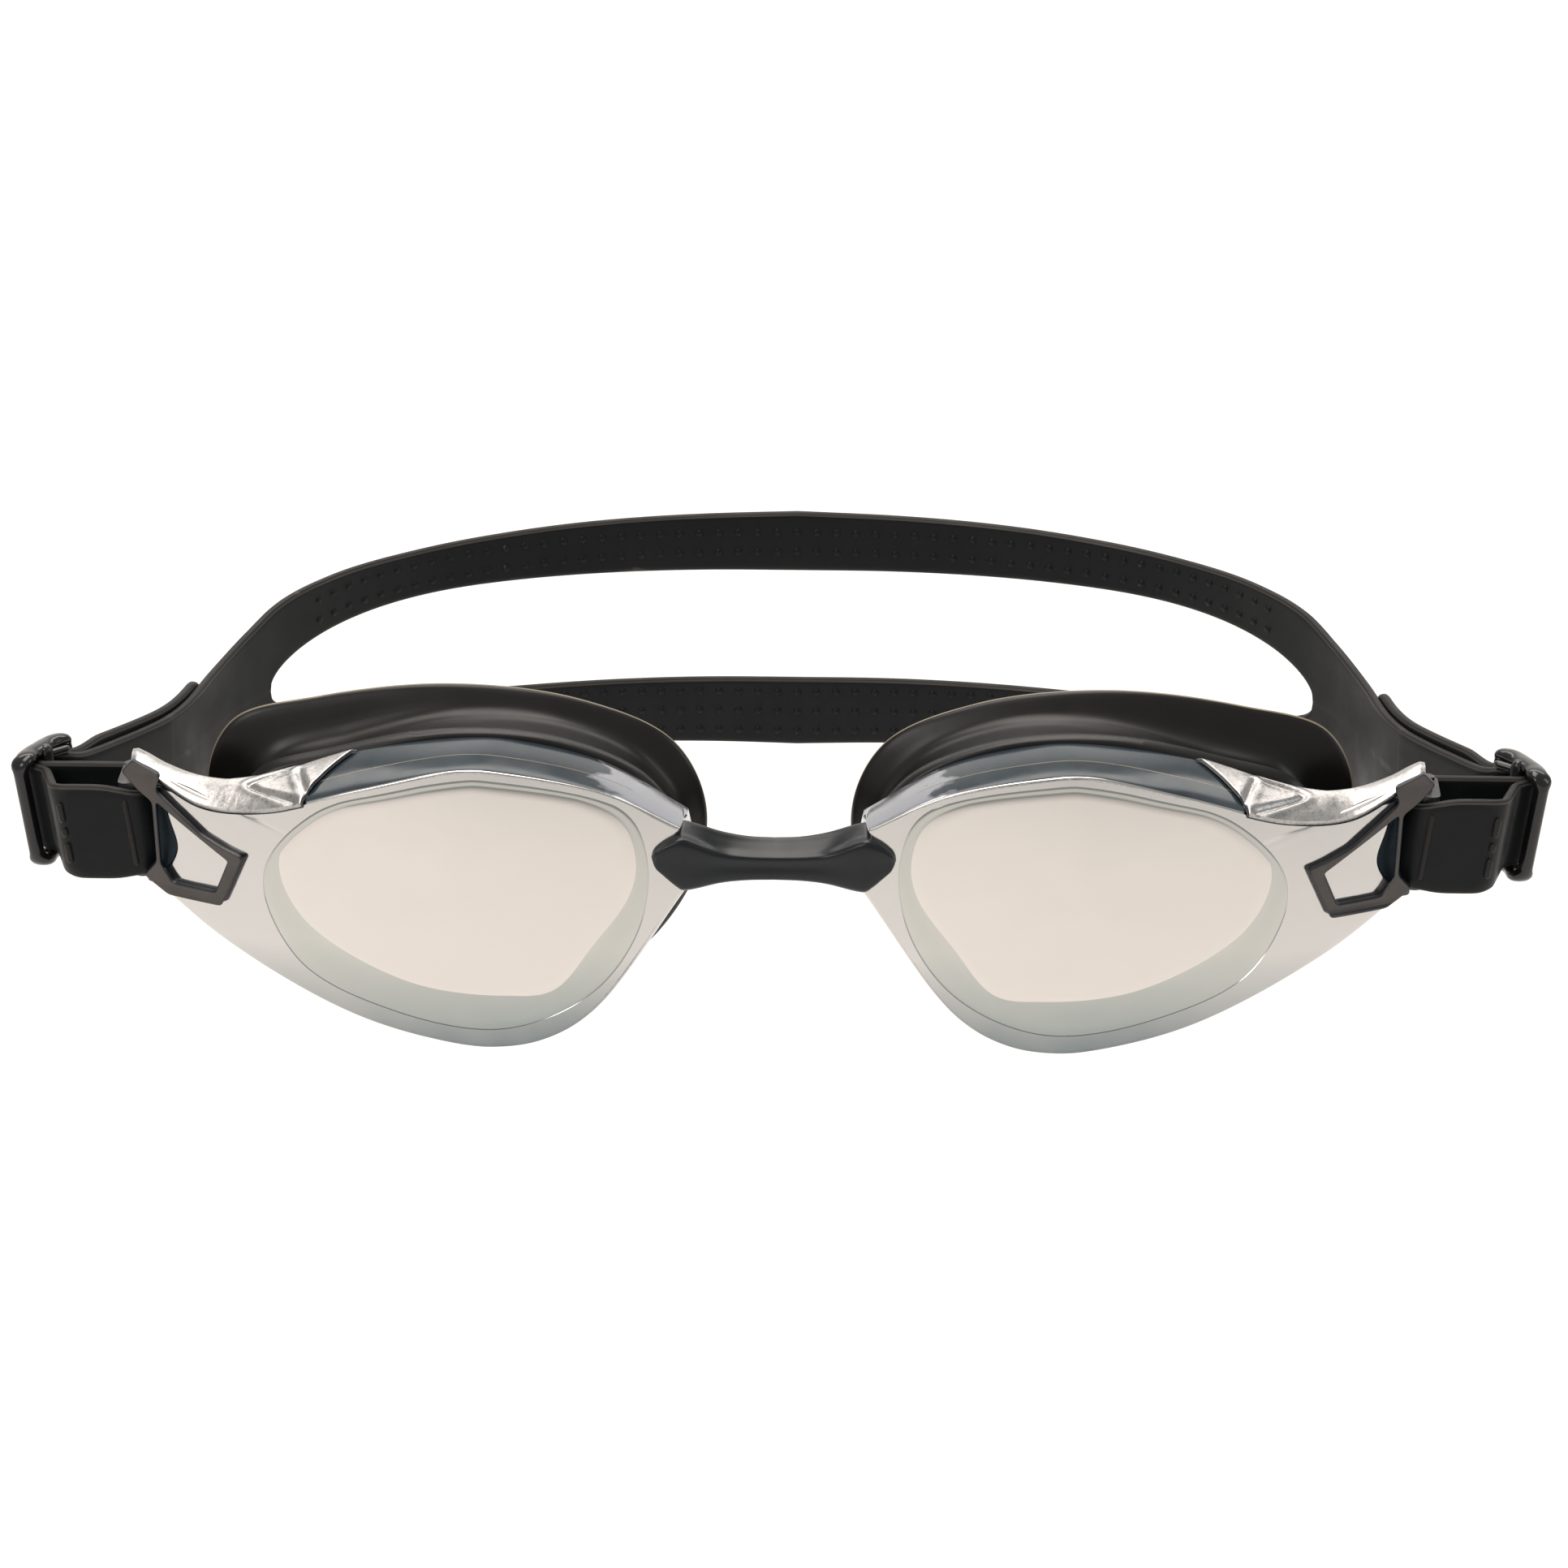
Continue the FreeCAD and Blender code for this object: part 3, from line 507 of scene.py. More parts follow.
def make_lens(side, label):
    """Closed shell of loops round the lens middle, from the optic outwards, back and inside."""
    face = np.vstack([spline(LENS_TOP, 1800)[:-1], spline(LENS_END, 400)[:-1],
                      spline(LENS_BOTTOM, 1800)[:-1], spline(LENS_NOTCH, 300)[:-1]])
    wall = np.vstack([spline(WALL_TOP, 1800)[:-1], spline(WALL_BOTTOM, 1800)[:-1]])
    corners = np.array([LENS_TOP[0], LENS_TOP[-1], LENS_BOTTOM[0], LENS_BOTTOM[-1]]) - LENS_MIDDLE
    angles = np.sort(np.concatenate([np.linspace(-math.pi, math.pi, 420, endpoint=False),
                                     np.arctan2(corners[:, 1], corners[:, 0])]))
    ways = np.stack([np.cos(angles), np.sin(angles)], 1)
    reach_face = polar(face, angles)
    reach_wall = polar(wall, angles)
    reach_window = polar(spline(WINDOW, 2400, True), angles)
    reach_optic = polar(spline(OPTIC, 2400, True), angles)
    reach_window = np.minimum(reach_window, reach_face - 1.2)
    reach_optic = np.minimum(reach_optic, reach_window - 0.8)

    def front_loop(reach, sink=0.0):
        spots = LENS_MIDDLE + ways * np.array(reach)[:, None]
        return [(x, face_y(x, z) + sink, z) for x, z in spots]

    def wall_loop(share, grow=0.0, inner=0.0):
        reach = reach_face + (reach_wall - reach_face) * share + grow - inner
        spots = LENS_MIDDLE + ways * reach[:, None]
        return [(x, face_y(x, z) + (wall_y(x) - face_y(x, z)) * share, z) for x, z in spots]

    outer, ring, optic, line, smoke, wall_highlight, inside = range(7)
    loops, kinds = [], []

    def add(loop, kind):
        loops.append(loop)
        kinds.append(kind)

    for share in (0.02, 0.25, 0.5, 0.75, 0.93):
        add(front_loop(reach_optic * share), optic)
    add(front_loop(reach_optic - 0.10), optic)
    add(front_loop(reach_optic + 0.10, 0.03), ring)
    for share in (0.3, 0.65):
        add(front_loop(reach_optic + (reach_window - reach_optic) * share, 0.03), ring)
    add(front_loop(reach_window - 0.12, 0.03), ring)
    add(front_loop(reach_window, 0.07), line)
    add(front_loop(reach_window + 0.08, 0.0), outer)
    add(front_loop(reach_window + 0.22, 0.0), outer)
    for share in (0.3, 0.6, 0.85):
        add(front_loop(reach_window + (reach_face - reach_window) * share), outer)
    for inwards, sink in ((0.40, 0.0), (0.18, 0.02), (0.06, 0.08), (0.0, 0.20)):
        add(front_loop(reach_face - inwards, sink), outer)
    for share in (0.09, 0.2, 0.3, 0.40, HIGHLIGHT_SHARE, 0.5, 0.65, 0.8, 0.93):
        add(wall_loop(share, 0.35 * math.sin(math.pi * share)),
            wall_highlight if share == HIGHLIGHT_SHARE else smoke)
    add(wall_loop(1.0), smoke)
    add(wall_loop(1.0, 0.0, 0.3), smoke)
    add(wall_loop(1.0, 0.0, 1.7), inside)
    for share in (0.8, 0.5, 0.3):
        add(wall_loop(share, 0.0, 2.0), inside)
    for share in (0.9, 0.5, 0.02):
        add(front_loop((reach_face - 2.4) * share, 2.2), inside)
    loops = [loop[::-1] for loop in loops]
    shape = skin(loops, True, True, True)
    count = len(angles)
    face_kinds = []
    for row in range(len(loops) - 1):
        for k in range(count):
            kind = kinds[row + 1]
            x, _, z = loops[row][k]
            # The painted highlight line keeps to its extent; the rest of that row is smoke wall.
            if kind == wall_highlight and (z < HIGHLIGHT_LOW or not HIGHLIGHT_FROM <= x <= HIGHLIGHT_TO):
                kind = smoke
            face_kinds.append(kind)
    face_kinds += [optic] * count + [inside] * count
    return make_piece(label + "_lens_body", shape,
                      [LENS_OUTER, LENS_RING, LENS_OPTIC, LENS_LINE, LENS_SMOKE, LENS_WALL_HIGHLIGHT,
                       LENS_INSIDE],
                      "front", side, [label + "_lens"], face_kinds, 35.0)


# Folds pressed into the metallised brow, as (x, share of the way from its front to its rear)
BROW_FOLDS = [[(58.6, 0.86), (61.0, 0.80), (62.6, 0.70), (63.2, 0.60), (62.6, 0.46), (60.6, 0.28),
               (57.4, 0.04)], [(57.2, 0.74), (56.6, 0.42), (55.8, 0.08)]]


def make_brow(side, label):
    """Raised bright roll along the outer part of the lens's top edge, with pressed folds."""
    lower = spline(LENS_TOP + [(78.2, 15.35)], 4000)
    upper = spline(WALL_TOP + [(78.2, 15.5)], 4000)
    folds = [spline([(x, share * 9.0) for x, share in fold], 60) for fold in BROW_FOLDS]
    columns, shares = 150, np.linspace(0.0, 1.0, 34)
    loops = []
    for u in np.concatenate([[0.0, 0.006, 0.013, 0.02], np.linspace(0.028, 1, columns)]):
        loop = []
        for row, v in enumerate(np.concatenate([[-0.14, -0.10, -0.04], shares, [1.02]])):
            start = 56.2 - 6.0 * max(v, 0.0) ** 1.35
            x = start + (77.9 - start) * u
            z_front = np.interp(x, lower[:, 0], lower[:, 1])
            z_rear = np.interp(x, upper[:, 0], upper[:, 1])
            y_front, y_rear = face_y(x, z_front), wall_y(x)
            inner = np.clip(v, 0, 1)
            y = y_front + (y_rear - y_front) * inner
            z = z_front + (z_rear - z_front) * inner + 0.35 * math.sin(math.pi * inner)
            gone = smoothstep((x - start) / 0.45) * smoothstep((78.0 - x) / 0.8)
            raised = (0.26 + 0.36 * gone) * smoothstep((v + 0.16) / 0.14)
            raised *= smoothstep((1.06 - v) / 0.12)
            for fold in folds:
                gap = np.min(np.hypot(fold[:, 0] - x, fold[:, 1] - v * 9.0))
                raised -= 0.30 * math.exp(-(gap / 0.32) ** 2)
                raised += 0.14 * math.exp(-((gap - 0.9) / 0.5) ** 2)
            lean = 0.9 if v < 0 else 0.9 * math.exp(-v * 5.0)
            loop.append((x, y - raised * lean - 0.03, z + raised * (1 - 0.6 * lean)
                         + min(v, 0) * 4.2))
        loops.append(loop)
    rows = len(loops[0]) - 1
    # The brow's first two columns and its lowest row get the dark brow edge colour: painted shade
    # along its edge.
    kinds = [1 if column < 2 or row == 0 else 0 for column in range(len(loops) - 1)
             for row in range(rows)]
    return make_piece(label + "_lens_brow", skin(loops, False), [LENS_CHROME, BROW_EDGE_SHADE],
                      "front", side, [label + "_lens"], kinds, 60.0)


# -------- gasket

RIM = [(69.9, 8.8), (66.7, 17.3), (56.0, 20.5), (40.0, 22.3), (24.0, 20.4), (12.8, 15.2),
       (8.8, 6.5), (11.0, -4.0), (20.0, -14.5), (36.0, -19.0), (52.0, -15.5), (64.0, -4.0)]
LIP = [(64.5, 8.0), (62.0, 13.8), (53.0, 16.8), (39.0, 19.6), (26.0, 18.6), (16.0, 14.0),
       (11.5, 6.5), (13.8, -2.5), (22.0, -11.8), (35.5, -16.2), (50.0, -12.8), (60.5, -3.5)]
# (share of the way from lip to rim, inwards, along Y): the outside, round the rim, the inside
GASKET_PROFILE = [(-0.12, 1.0, -11.3), (-0.02, 0.25, -11.4), (0.03, 0.0, -11.2),
                  (0.16, 0.0, -10.1), (0.12, 0.0, -9.85), (-0.05, 0.0, -9.6),
                  (-0.22, 0.0, -8.8), (-0.30, 0.0, -7.2), (-0.31, 0.0, -5.4),
                  (-0.28, 0.0, -4.0), (-0.20, 0.0, -3.0), (-0.05, 0.0, -2.3),
                  (0.16, 0.0, -1.85), (0.40, 0.0, -1.5), (0.64, 0.0, -1.15),
                  (0.85, 0.0, -0.80), (0.97, 0.0, -0.48), (1.0, 0.04, -0.22), (0.98, 0.3, 0.02),
                  (0.95, 0.6, 0.05), (0.78, 1.1, -0.12), (0.50, 1.3, -0.45),
                  (0.20, 1.5, -1.1), (-0.06, 1.6, -2.2), (-0.24, 1.6, -3.8),
                  (-0.30, 1.6, -6.2), (-0.26, 1.7, -9.2), (-0.18, 1.7, -10.6),
                  (-0.12, 1.0, -11.3)]
# Rows of the gasket profile round the rim that carry the painted rim highlight.
GASKET_RIM_ROWS = (16, 17)


def make_gasket(side, label):
    count = 260
    rim = spline(RIM, count, True)
    lip = spline(LIP, count, True)
    middle = (rim.mean(0) + lip.mean(0)) / 2
    loops = []
    for share, inwards, y in GASKET_PROFILE:
        spots = lip + (rim - lip) * share
        away = spots - middle
        reach = np.linalg.norm(away, axis=1, keepdims=True)
        spots = middle + away * (1 - inwards / reach)
        loops.append([(x, y, z) for x, z in spots])
    shape = skin(loops)
    kinds = [1 if row in GASKET_RIM_ROWS else 0 for row in range(len(loops) - 1)
             for _ in range(count)]
    return make_piece(label + "_gasket_cup", shape, [GASKET, GASKET_RIM_HIGHLIGHT], "front",
                      side, [label + "_gasket"], kinds, 50.0)


# -------- nose bridge


def make_bridge():
    """Waisted bar with blunt arrow ends and a slanting upper facet that fades at the ends."""
    tip = BRIDGE_HIGH[0] + 0.45
    top = spline([(tip, 7.5), (tip - 0.25, 8.5), (13.2, 9.7), (12.0, 10.6), (11.1, 11.02),
                  (10.3, 10.95), (9.0, 10.6), (6.5, 9.85), (3.2, 9.25), (0.0, 9.1)], 140)
    bottom = spline([(tip, 7.2), (tip - 0.3, 6.2), (13.0, 4.9), (11.8, 3.75), (10.9, 3.12),
                     (10.1, 3.15), (9.0, 3.35), (6.5, 3.9), (3.2, 4.3), (0.0, 4.4)], 140)
    top_x, top_z = top[::-1, 0], top[::-1, 1]
    low_x, low_z = bottom[::-1, 0], bottom[::-1, 1]
    loops = []
    for x in tip * np.sin(np.linspace(-math.pi / 2, math.pi / 2, 161)):
        reach = min(abs(x), tip - 0.02)
        high = np.interp(reach, top_x, top_z)
        low = np.interp(reach, low_x, low_z)
        paddle = smoothstep((reach - 5.0) / 6.5)
        front = BRIDGE_LOW[1] + 1.3 - 1.0 * paddle
        back = BRIDGE_HIGH[1] + 0.4 * paddle
        depth = (back - front) / 2 * min(1.0, 0.80 + (tip - reach) * 0.4)
        ridge = 0.28 + 0.42 * paddle
        dish = 0.86 + 0.09 * paddle
        slope = (1.0 - ridge) / 1.65
        profile = [(0.85, 1.0), (0.3, 1.0 - 0.5 * slope), (-0.3, 1.0 - 1.1 * slope),
                   (-0.93, ridge + 0.03), (-1.0, ridge - 0.08), (-dish, -0.1), (-0.93, -0.62),
                   (-0.86, -0.82), (-0.3, -1.0), (0.4, -1.0), (0.95, -0.8), (1.0, 0.0),
                   (0.98, 0.8)]
        loop = spline(profile, 56, True)
        loops.append([(x, (back + front) / 2 + y * depth, (high + low) / 2 + z * (high - low) / 2)
                      for y, z in loop][::-1])
    return make_piece("nose_bridge_bar", skin(loops, True, True, True), [BRIDGE], "front",
                      1, ["nose_bridge"], sharp=60.0)


# -------- temple clip

BEZEL = [(79.2, 13.8), (77.7, 15.6), (74.1, 14.4), (74.7, 12.3), (69.0, 7.8), (66.2, 6.5),
         (63.8, 5.7), (66.7, -0.9), (73.5, -0.7), (76.6, 1.2), (74.9, 3.3), (75.3, 10.8),
         (77.2, 12.0)]
BEZEL_WINDOW = [(74.7, 10.9), (65.7, 5.0), (67.4, 0.8), (72.8, 1.0), (74.3, 3.2)]


def rounded(points, radius, step=0.6):
    """Closed outline with rounded corners, sampled at about the step."""
    points = [np.array(p, float) for p in points]
    outline = []
    count = len(points)
    for i in range(count):
        before, corner, after = points[i - 1], points[i], points[(i + 1) % count]
        way_in, way_out = unit(corner - before), unit(after - corner)
        reach = min(radius, 0.45 * np.linalg.norm(corner - before),
                    0.45 * np.linalg.norm(after - corner))
        start, end = corner - way_in * reach, corner + way_out * reach
        for u in np.linspace(0, 1, 5):
            outline.append((1 - u) ** 2 * start + 2 * u * (1 - u) * corner + u * u * end)
        following = after - way_out * reach
        run = following - end
        for u in np.arange(step, np.linalg.norm(run) - step / 2, step):
            outline.append(end + unit(run) * u)
    return outline


def plate(outlines, half, bevel):
    """Flat plate with holes, as (vertices, faces): x, y in its plane and z through it."""
    curve = bpy.data.curves.new("plate", "CURVE")
    curve.dimensions = "2D"
    curve.fill_mode = "BOTH"
    curve.extrude = half - bevel
    curve.bevel_depth = bevel
    curve.bevel_resolution = 2
    curve.offset = -bevel
    for outline in outlines:
        line = curve.splines.new("POLY")
        line.points.add(len(outline) - 1)
        for point, (x, y) in zip(line.points, outline):
            point.co = (x, y, 0, 1)
        line.use_cyclic_u = True
    holder = bpy.data.objects.new("plate", curve)
    bpy.context.scene.collection.objects.link(holder)
    bpy.context.view_layer.update()
    mesh = bpy.data.meshes.new_from_object(holder)
    vertices = [tuple(v.co) for v in mesh.vertices]
    faces = [tuple(p.vertices) for p in mesh.polygons]
    bpy.data.objects.remove(holder)
    bpy.data.curves.remove(curve)
    return vertices, faces


def make_clip(side, label):
    """Bezel bent to the lens face, with two lugs behind it that hold the strap post."""
    half, sunk = 0.6, 0.10
    vertices, faces = plate([rounded(BEZEL, 0.5), rounded(BEZEL_WINDOW, 0.4)], half, 0.22)
    bent = [(x, face_y(x, z) + sunk - half - through, z) for x, z, through in vertices]
    lugs = []
    for height, edge in ((12.2, 76.9), (-0.35, 76.6)):
        outline = rounded([(74.9, -8.9), (edge, -8.4), (edge + 0.1, -3.9), (75.2, -3.6)], 0.9)
        more, more_faces = plate([outline], 0.5, 0.2)
        lugs.append(([(x, y, height + t) for x, y, t in more], more_faces))
    # The bezel's side faces and all of the lugs get the dark clip edge colour: painted shade
    # round the bezel and inside the strap loop.
    kinds = []
    for face in faces:
        first, second, third = (np.array(vertices[face[k]]) for k in (0, 1, 2))
        normal = np.cross(second - first, third - first)
        kinds.append(0 if abs(normal[2]) > 0.85 * np.linalg.norm(normal) else 1)
    shape = join([(bent, faces)] + lugs)
    kinds += [1] * (len(shape[1]) - len(kinds))
    return make_piece(label + "_clip_bezel", shape, [CLIP, CLIP_EDGE_SHADE], "front",
                      side, [label + "_temple_clip"], kinds, 35.0)


# -------- strap routes in plan

HEAD_ROUTE = [(24.0, 75.6, 98.0), (56.0, 63.5, 50.0), (71.5, 41.0, 54.0), (75.5, 22.0, 32.0)]
RAIL_REAR = np.array([-1.5, 4.6])
RAIL_RADIUS = 0.85
BAR_RADIUS = 0.9
WRAP_GAP = 0.15
RAIL_TURN = RAIL_RADIUS + WRAP_GAP + STRAP_THICK / 2
BAR_TURN = BAR_RADIUS + WRAP_GAP + STRAP_THICK / 2
LAYER = STRAP_THICK + 0.1
BAR_XY = BAR[:2]


def heading(degrees):
    turn = math.radians(degrees)
    return np.array([math.cos(turn), math.sin(turn)])


def left_of(way):
    return np.array([-way[1], way[0]])


def round_bar(bar, radius, side, heading_in, heading_out, pieces=1):
    """Corners of a route that turns round a bar; side is 1 with the bar on its left."""
    step = (heading_out - heading_in) / pieces
    corners = []
    for index in range(pieces):
        middle = heading_in + step * (index + 0.5)
        corner = bar - left_of(heading(middle)) * side * radius / math.cos(math.radians(step / 2))
        corners.append((corner[0], corner[1], radius))
    return corners


def route_points(route, step):
    """Points and left normals along a route of (x, y, radius) corners."""
    places = [np.array(corner[:2], float) for corner in route]
    points, normals = [], []

    def run(start, end):
        way = end - start
        length = np.linalg.norm(way)
        if length < 1e-3:
            return
        way = way / length
        for u in np.linspace(0, length, max(2, int(length / step) + 1))[:-1]:
            points.append(start + way * u)
            normals.append(left_of(way))

    start = places[0]
    for before, corner, after, entry in zip(places, places[1:], places[2:], route[1:]):
        way_in, way_out = unit(corner - before), unit(after - corner)
        turn = math.acos(max(-1, min(1, float(way_in @ way_out))))
        radius = entry[2]
        reach = radius * math.tan(turn / 2)
        first = corner - way_in * reach
        run(start, first)
        sign = math.copysign(1, way_in[0] * way_out[1] - way_in[1] * way_out[0])
        centre = first + left_of(way_in) * sign * radius
        pieces = max(3, int(radius * turn / step), int(math.degrees(turn) / 9))
        for u in np.linspace(0, turn, pieces, endpoint=False):
            c, s = math.cos(u * sign), math.sin(u * sign)
            spoke = first - centre
            points.append(centre + np.array([c * spoke[0] - s * spoke[1],
                                             s * spoke[0] + c * spoke[1]]))
            way = np.array([c * way_in[0] - s * way_in[1], s * way_in[0] + c * way_in[1]])
            normals.append(left_of(way))
        start = corner + way_out * reach
    run(start, places[-1])
    points.append(places[-1])
    normals.append(normals[-1])
    return np.array(points), np.array(normals)


def heading_past(way, offset):
    """Direction, in degrees, of a line that starts beside the origin and ends beside way."""
    lean = math.asin(offset / np.linalg.norm(way))
    return math.degrees(math.atan2(way[1], way[0])) + math.degrees(lean)


def slot_heading():
    """Direction of the strap from the rear rail to the middle bar."""
    return heading_past(-RAIL_REAR, RAIL_TURN + BAR_TURN + LAYER)


def approach_heading():
    """Direction of the strap as it comes in from the head."""
    return heading_past(BAR_XY + RAIL_REAR - np.array(HEAD_ROUTE[-1][:2]), -RAIL_TURN - LAYER)


def band_section(low, high, thick, round_low, round_high):
    """Cross-section of a strap: (across, height) round the loop."""
    half = thick / 2
    section = []
    for z, sign, edge in ((low, -1, round_low), (high, 1, round_high)):
        for u in np.linspace(-math.pi / 2, math.pi / 2, 7):
            across = half * math.sin(u) * -sign
            rise = edge * (1 - abs(math.cos(u))) if edge > 1e-6 else 0.0
            section.append((across, z - sign * rise))
        for share in (0.12, 0.5, 0.88)[::-sign]:
            section.append((-sign * half, low + (high - low) * share))
    return section


SECTION_POINTS = 20
EDGE_LINES = (10, 15)           # segments of the section at its two upper corners, which carry the painted edge highlight


def edge_kinds(shape, loop_count, base=0):
    """Material index per face of a swept band: 1 on its upper corner lines, for the painted
    highlight along them.
    """
    kinds = [1 if k in EDGE_LINES else 0 for _ in range(loop_count - 1)
             for k in range(SECTION_POINTS)]
    return kinds + [base] * (len(shape[1]) - len(kinds))


BAND_LOW, BAND_TOP = (spline(list(zip([0.0, 30.0, 50.0, 60.0, 66.0, 69.5, 73.0, 77.0, 92.0],
                                      edge)), 600)
                      for edge in ([-12.1, -11.2, -9.6, -8.6, -7.2, -5.4, -3.2, -0.9, 0.5],
                                   [20.5, 19.4, 18.0, 17.2, 16.0, 13.9, 11.9, 10.8, 11.5]))
CROTCH = 67.6
DOT_PITCH = 2.6
DOT_COLUMNS = 26                # on each side of the middle
ROW_GAP = 2.7


def band_edges(x):
    reach = abs(x)
    return (np.interp(reach, BAND_LOW[:, 0], BAND_LOW[:, 1]),
            np.interp(reach, BAND_TOP[:, 0], BAND_TOP[:, 1]))


def split_edges(x):
    """Lower and upper edge of the split between the two strands."""
    reach = min(abs(x) / CROTCH, 1.0)
    half = 7.5 * math.sqrt(max(0.0, 1 - reach ** 6))
    return 4.8 - half, 4.8 + half


def dot(place, normal, radius, rise):
    """A low round bump on a strap face."""
    helper = np.array([0, 0, 1.0])
    across = np.cross(normal, helper)
    loops = []
    for u in (0.0, 0.45, 0.85, 1.25):
        loops.append([place + normal * rise * (math.sin(u) - 0.15)
                      + (across * math.cos(t) + helper * math.sin(t)) * radius * math.cos(u)
                      for t in np.linspace(0, 2 * math.pi, 10, endpoint=False)])
    return skin(loops, True, False, True)


def make_head_strap():
    """Split band round the back of the head, with rows of dots on its inner face."""
    end = np.array(HEAD_ROUTE[-1][:2]) + heading(approach_heading()) * 14.0
    half = HEAD_ROUTE + [(end[0], end[1], 0)]
    route = [(-x, y, radius) for x, y, radius in reversed(half)] + half
    track = np.hstack(route_points(route, 1.0))
    inner = track[np.abs(track[:, 0]) < STRAP_JOINT - 0.02]
    track = track[np.argsort(track[:, 0])]
    first, last = ([np.interp(math.copysign(STRAP_JOINT, x), track[:, 0], track[:, k])
                    for k in range(4)] for x in inner[[0, -1], 0])
    track = np.vstack([first, inner, last])
    stations = []
    for a, b in zip(track, track[1:]):
        at_split = CROTCH - 5.0 < (abs(a[0]) + abs(b[0])) / 2 < CROTCH + 1.0
        stations += [a + (b - a) * u for u in ((0, 0.2, 0.4, 0.6, 0.8) if at_split else (0,))]
    stations.append(track[-1])
    parts, kinds = [], []
    for upper in (False, True):
        loops = []
        for x, y, nx, ny in stations:
            low, top = band_edges(x)
            split_low, split_top = split_edges(x)
            inner = 0.5 if abs(x) < CROTCH - 0.05 else 0.0
            if upper:
                section = band_section(split_top, top, STRAP_THICK, inner, 0.5)
            else:
                section = band_section(low, split_low, STRAP_THICK, 0.5, inner)
            loops.append([(x + nx * across, y + ny * across, z) for across, z in section])
        parts.append(skin(loops, True, True, True))
        kinds += edge_kinds(parts[-1], len(loops))
    along = lengths_along(track[:, :2])
    centre, reach = along[-1] / 2, DOT_COLUMNS * DOT_PITCH
    for place in np.arange(centre - reach, centre + reach + DOT_PITCH / 2, DOT_PITCH):
        x, y, nx, ny = (np.interp(place, along, source) for source in track.T)
        low, top = band_edges(x)
        split_low, split_top = split_edges(x)
        inward = unit(np.array([nx, ny]))
        if inward[1] > 0:
            inward = -inward
        base = np.array([x, y]) + inward * STRAP_THICK / 2
        high, deep = (top + split_top) / 2, (low + split_low) / 2
        rows = [high - ROW_GAP / 2, high + ROW_GAP / 2, deep - ROW_GAP, deep, deep + ROW_GAP]
        for z in rows:
            parts.append(dot(np.array([*base, z]), np.array([*inward, 0]), 0.55, 0.30))
    shape = join(parts)
    kinds += [0] * (len(shape[1]) - len(kinds))
    return make_piece("head_strap_band", shape, [STRAP, STRAP_EDGE_HIGHLIGHT], None, 1,
                      ["head_strap"], kinds, 50.0)


def end_route():
    slot = slot_heading()
    approach = approach_heading()
    bend = np.array(HEAD_ROUTE[-1][:2])
    bend_radius = HEAD_ROUTE[-1][2]
    before = np.array(HEAD_ROUTE[-2][:2])
    half_way = (before + bend) / 2
    rear_rail = BAR_XY + RAIL_REAR
    rear = BAR_XY[1] - BAR_TURN
    post = 75.3
    route = [(half_way[0], half_way[1], 0), (bend[0], bend[1], bend_radius)]
    route += round_bar(rear_rail, RAIL_TURN + LAYER, 1, approach, slot)
    route += round_bar(BAR_XY, BAR_TURN, -1, slot, -180.0, 3)
    curl = BAR_XY + np.array([-0.4, -3.9])
    route += [(post, rear, 2.4), (post, LOOP_FRONT, 2.4), (curl[0] - 2.0, LOOP_FRONT, 2.2),
              (curl[0], curl[1], 2.0)]
    route += round_bar(BAR_XY, BAR_TURN + LAYER, 1, 35.0, slot + 180.0, 2)
    route += round_bar(rear_rail, RAIL_TURN, -1, slot + 180.0, approach + 180.0)
    way = heading(approach)
    out = unit(before - bend)
    outside, outside_after = left_of(way), -left_of(out)
    corner = bend + (outside + outside_after) * LAYER / (1 + outside @ outside_after)
    route += [(corner[0], corner[1], bend_radius - LAYER),
              (corner[0] + out[0] * 9.7, corner[1] + out[1] * 9.7, 0)]
    return route


RIB_X = 78.2
TAIL_LENGTH = 30.0


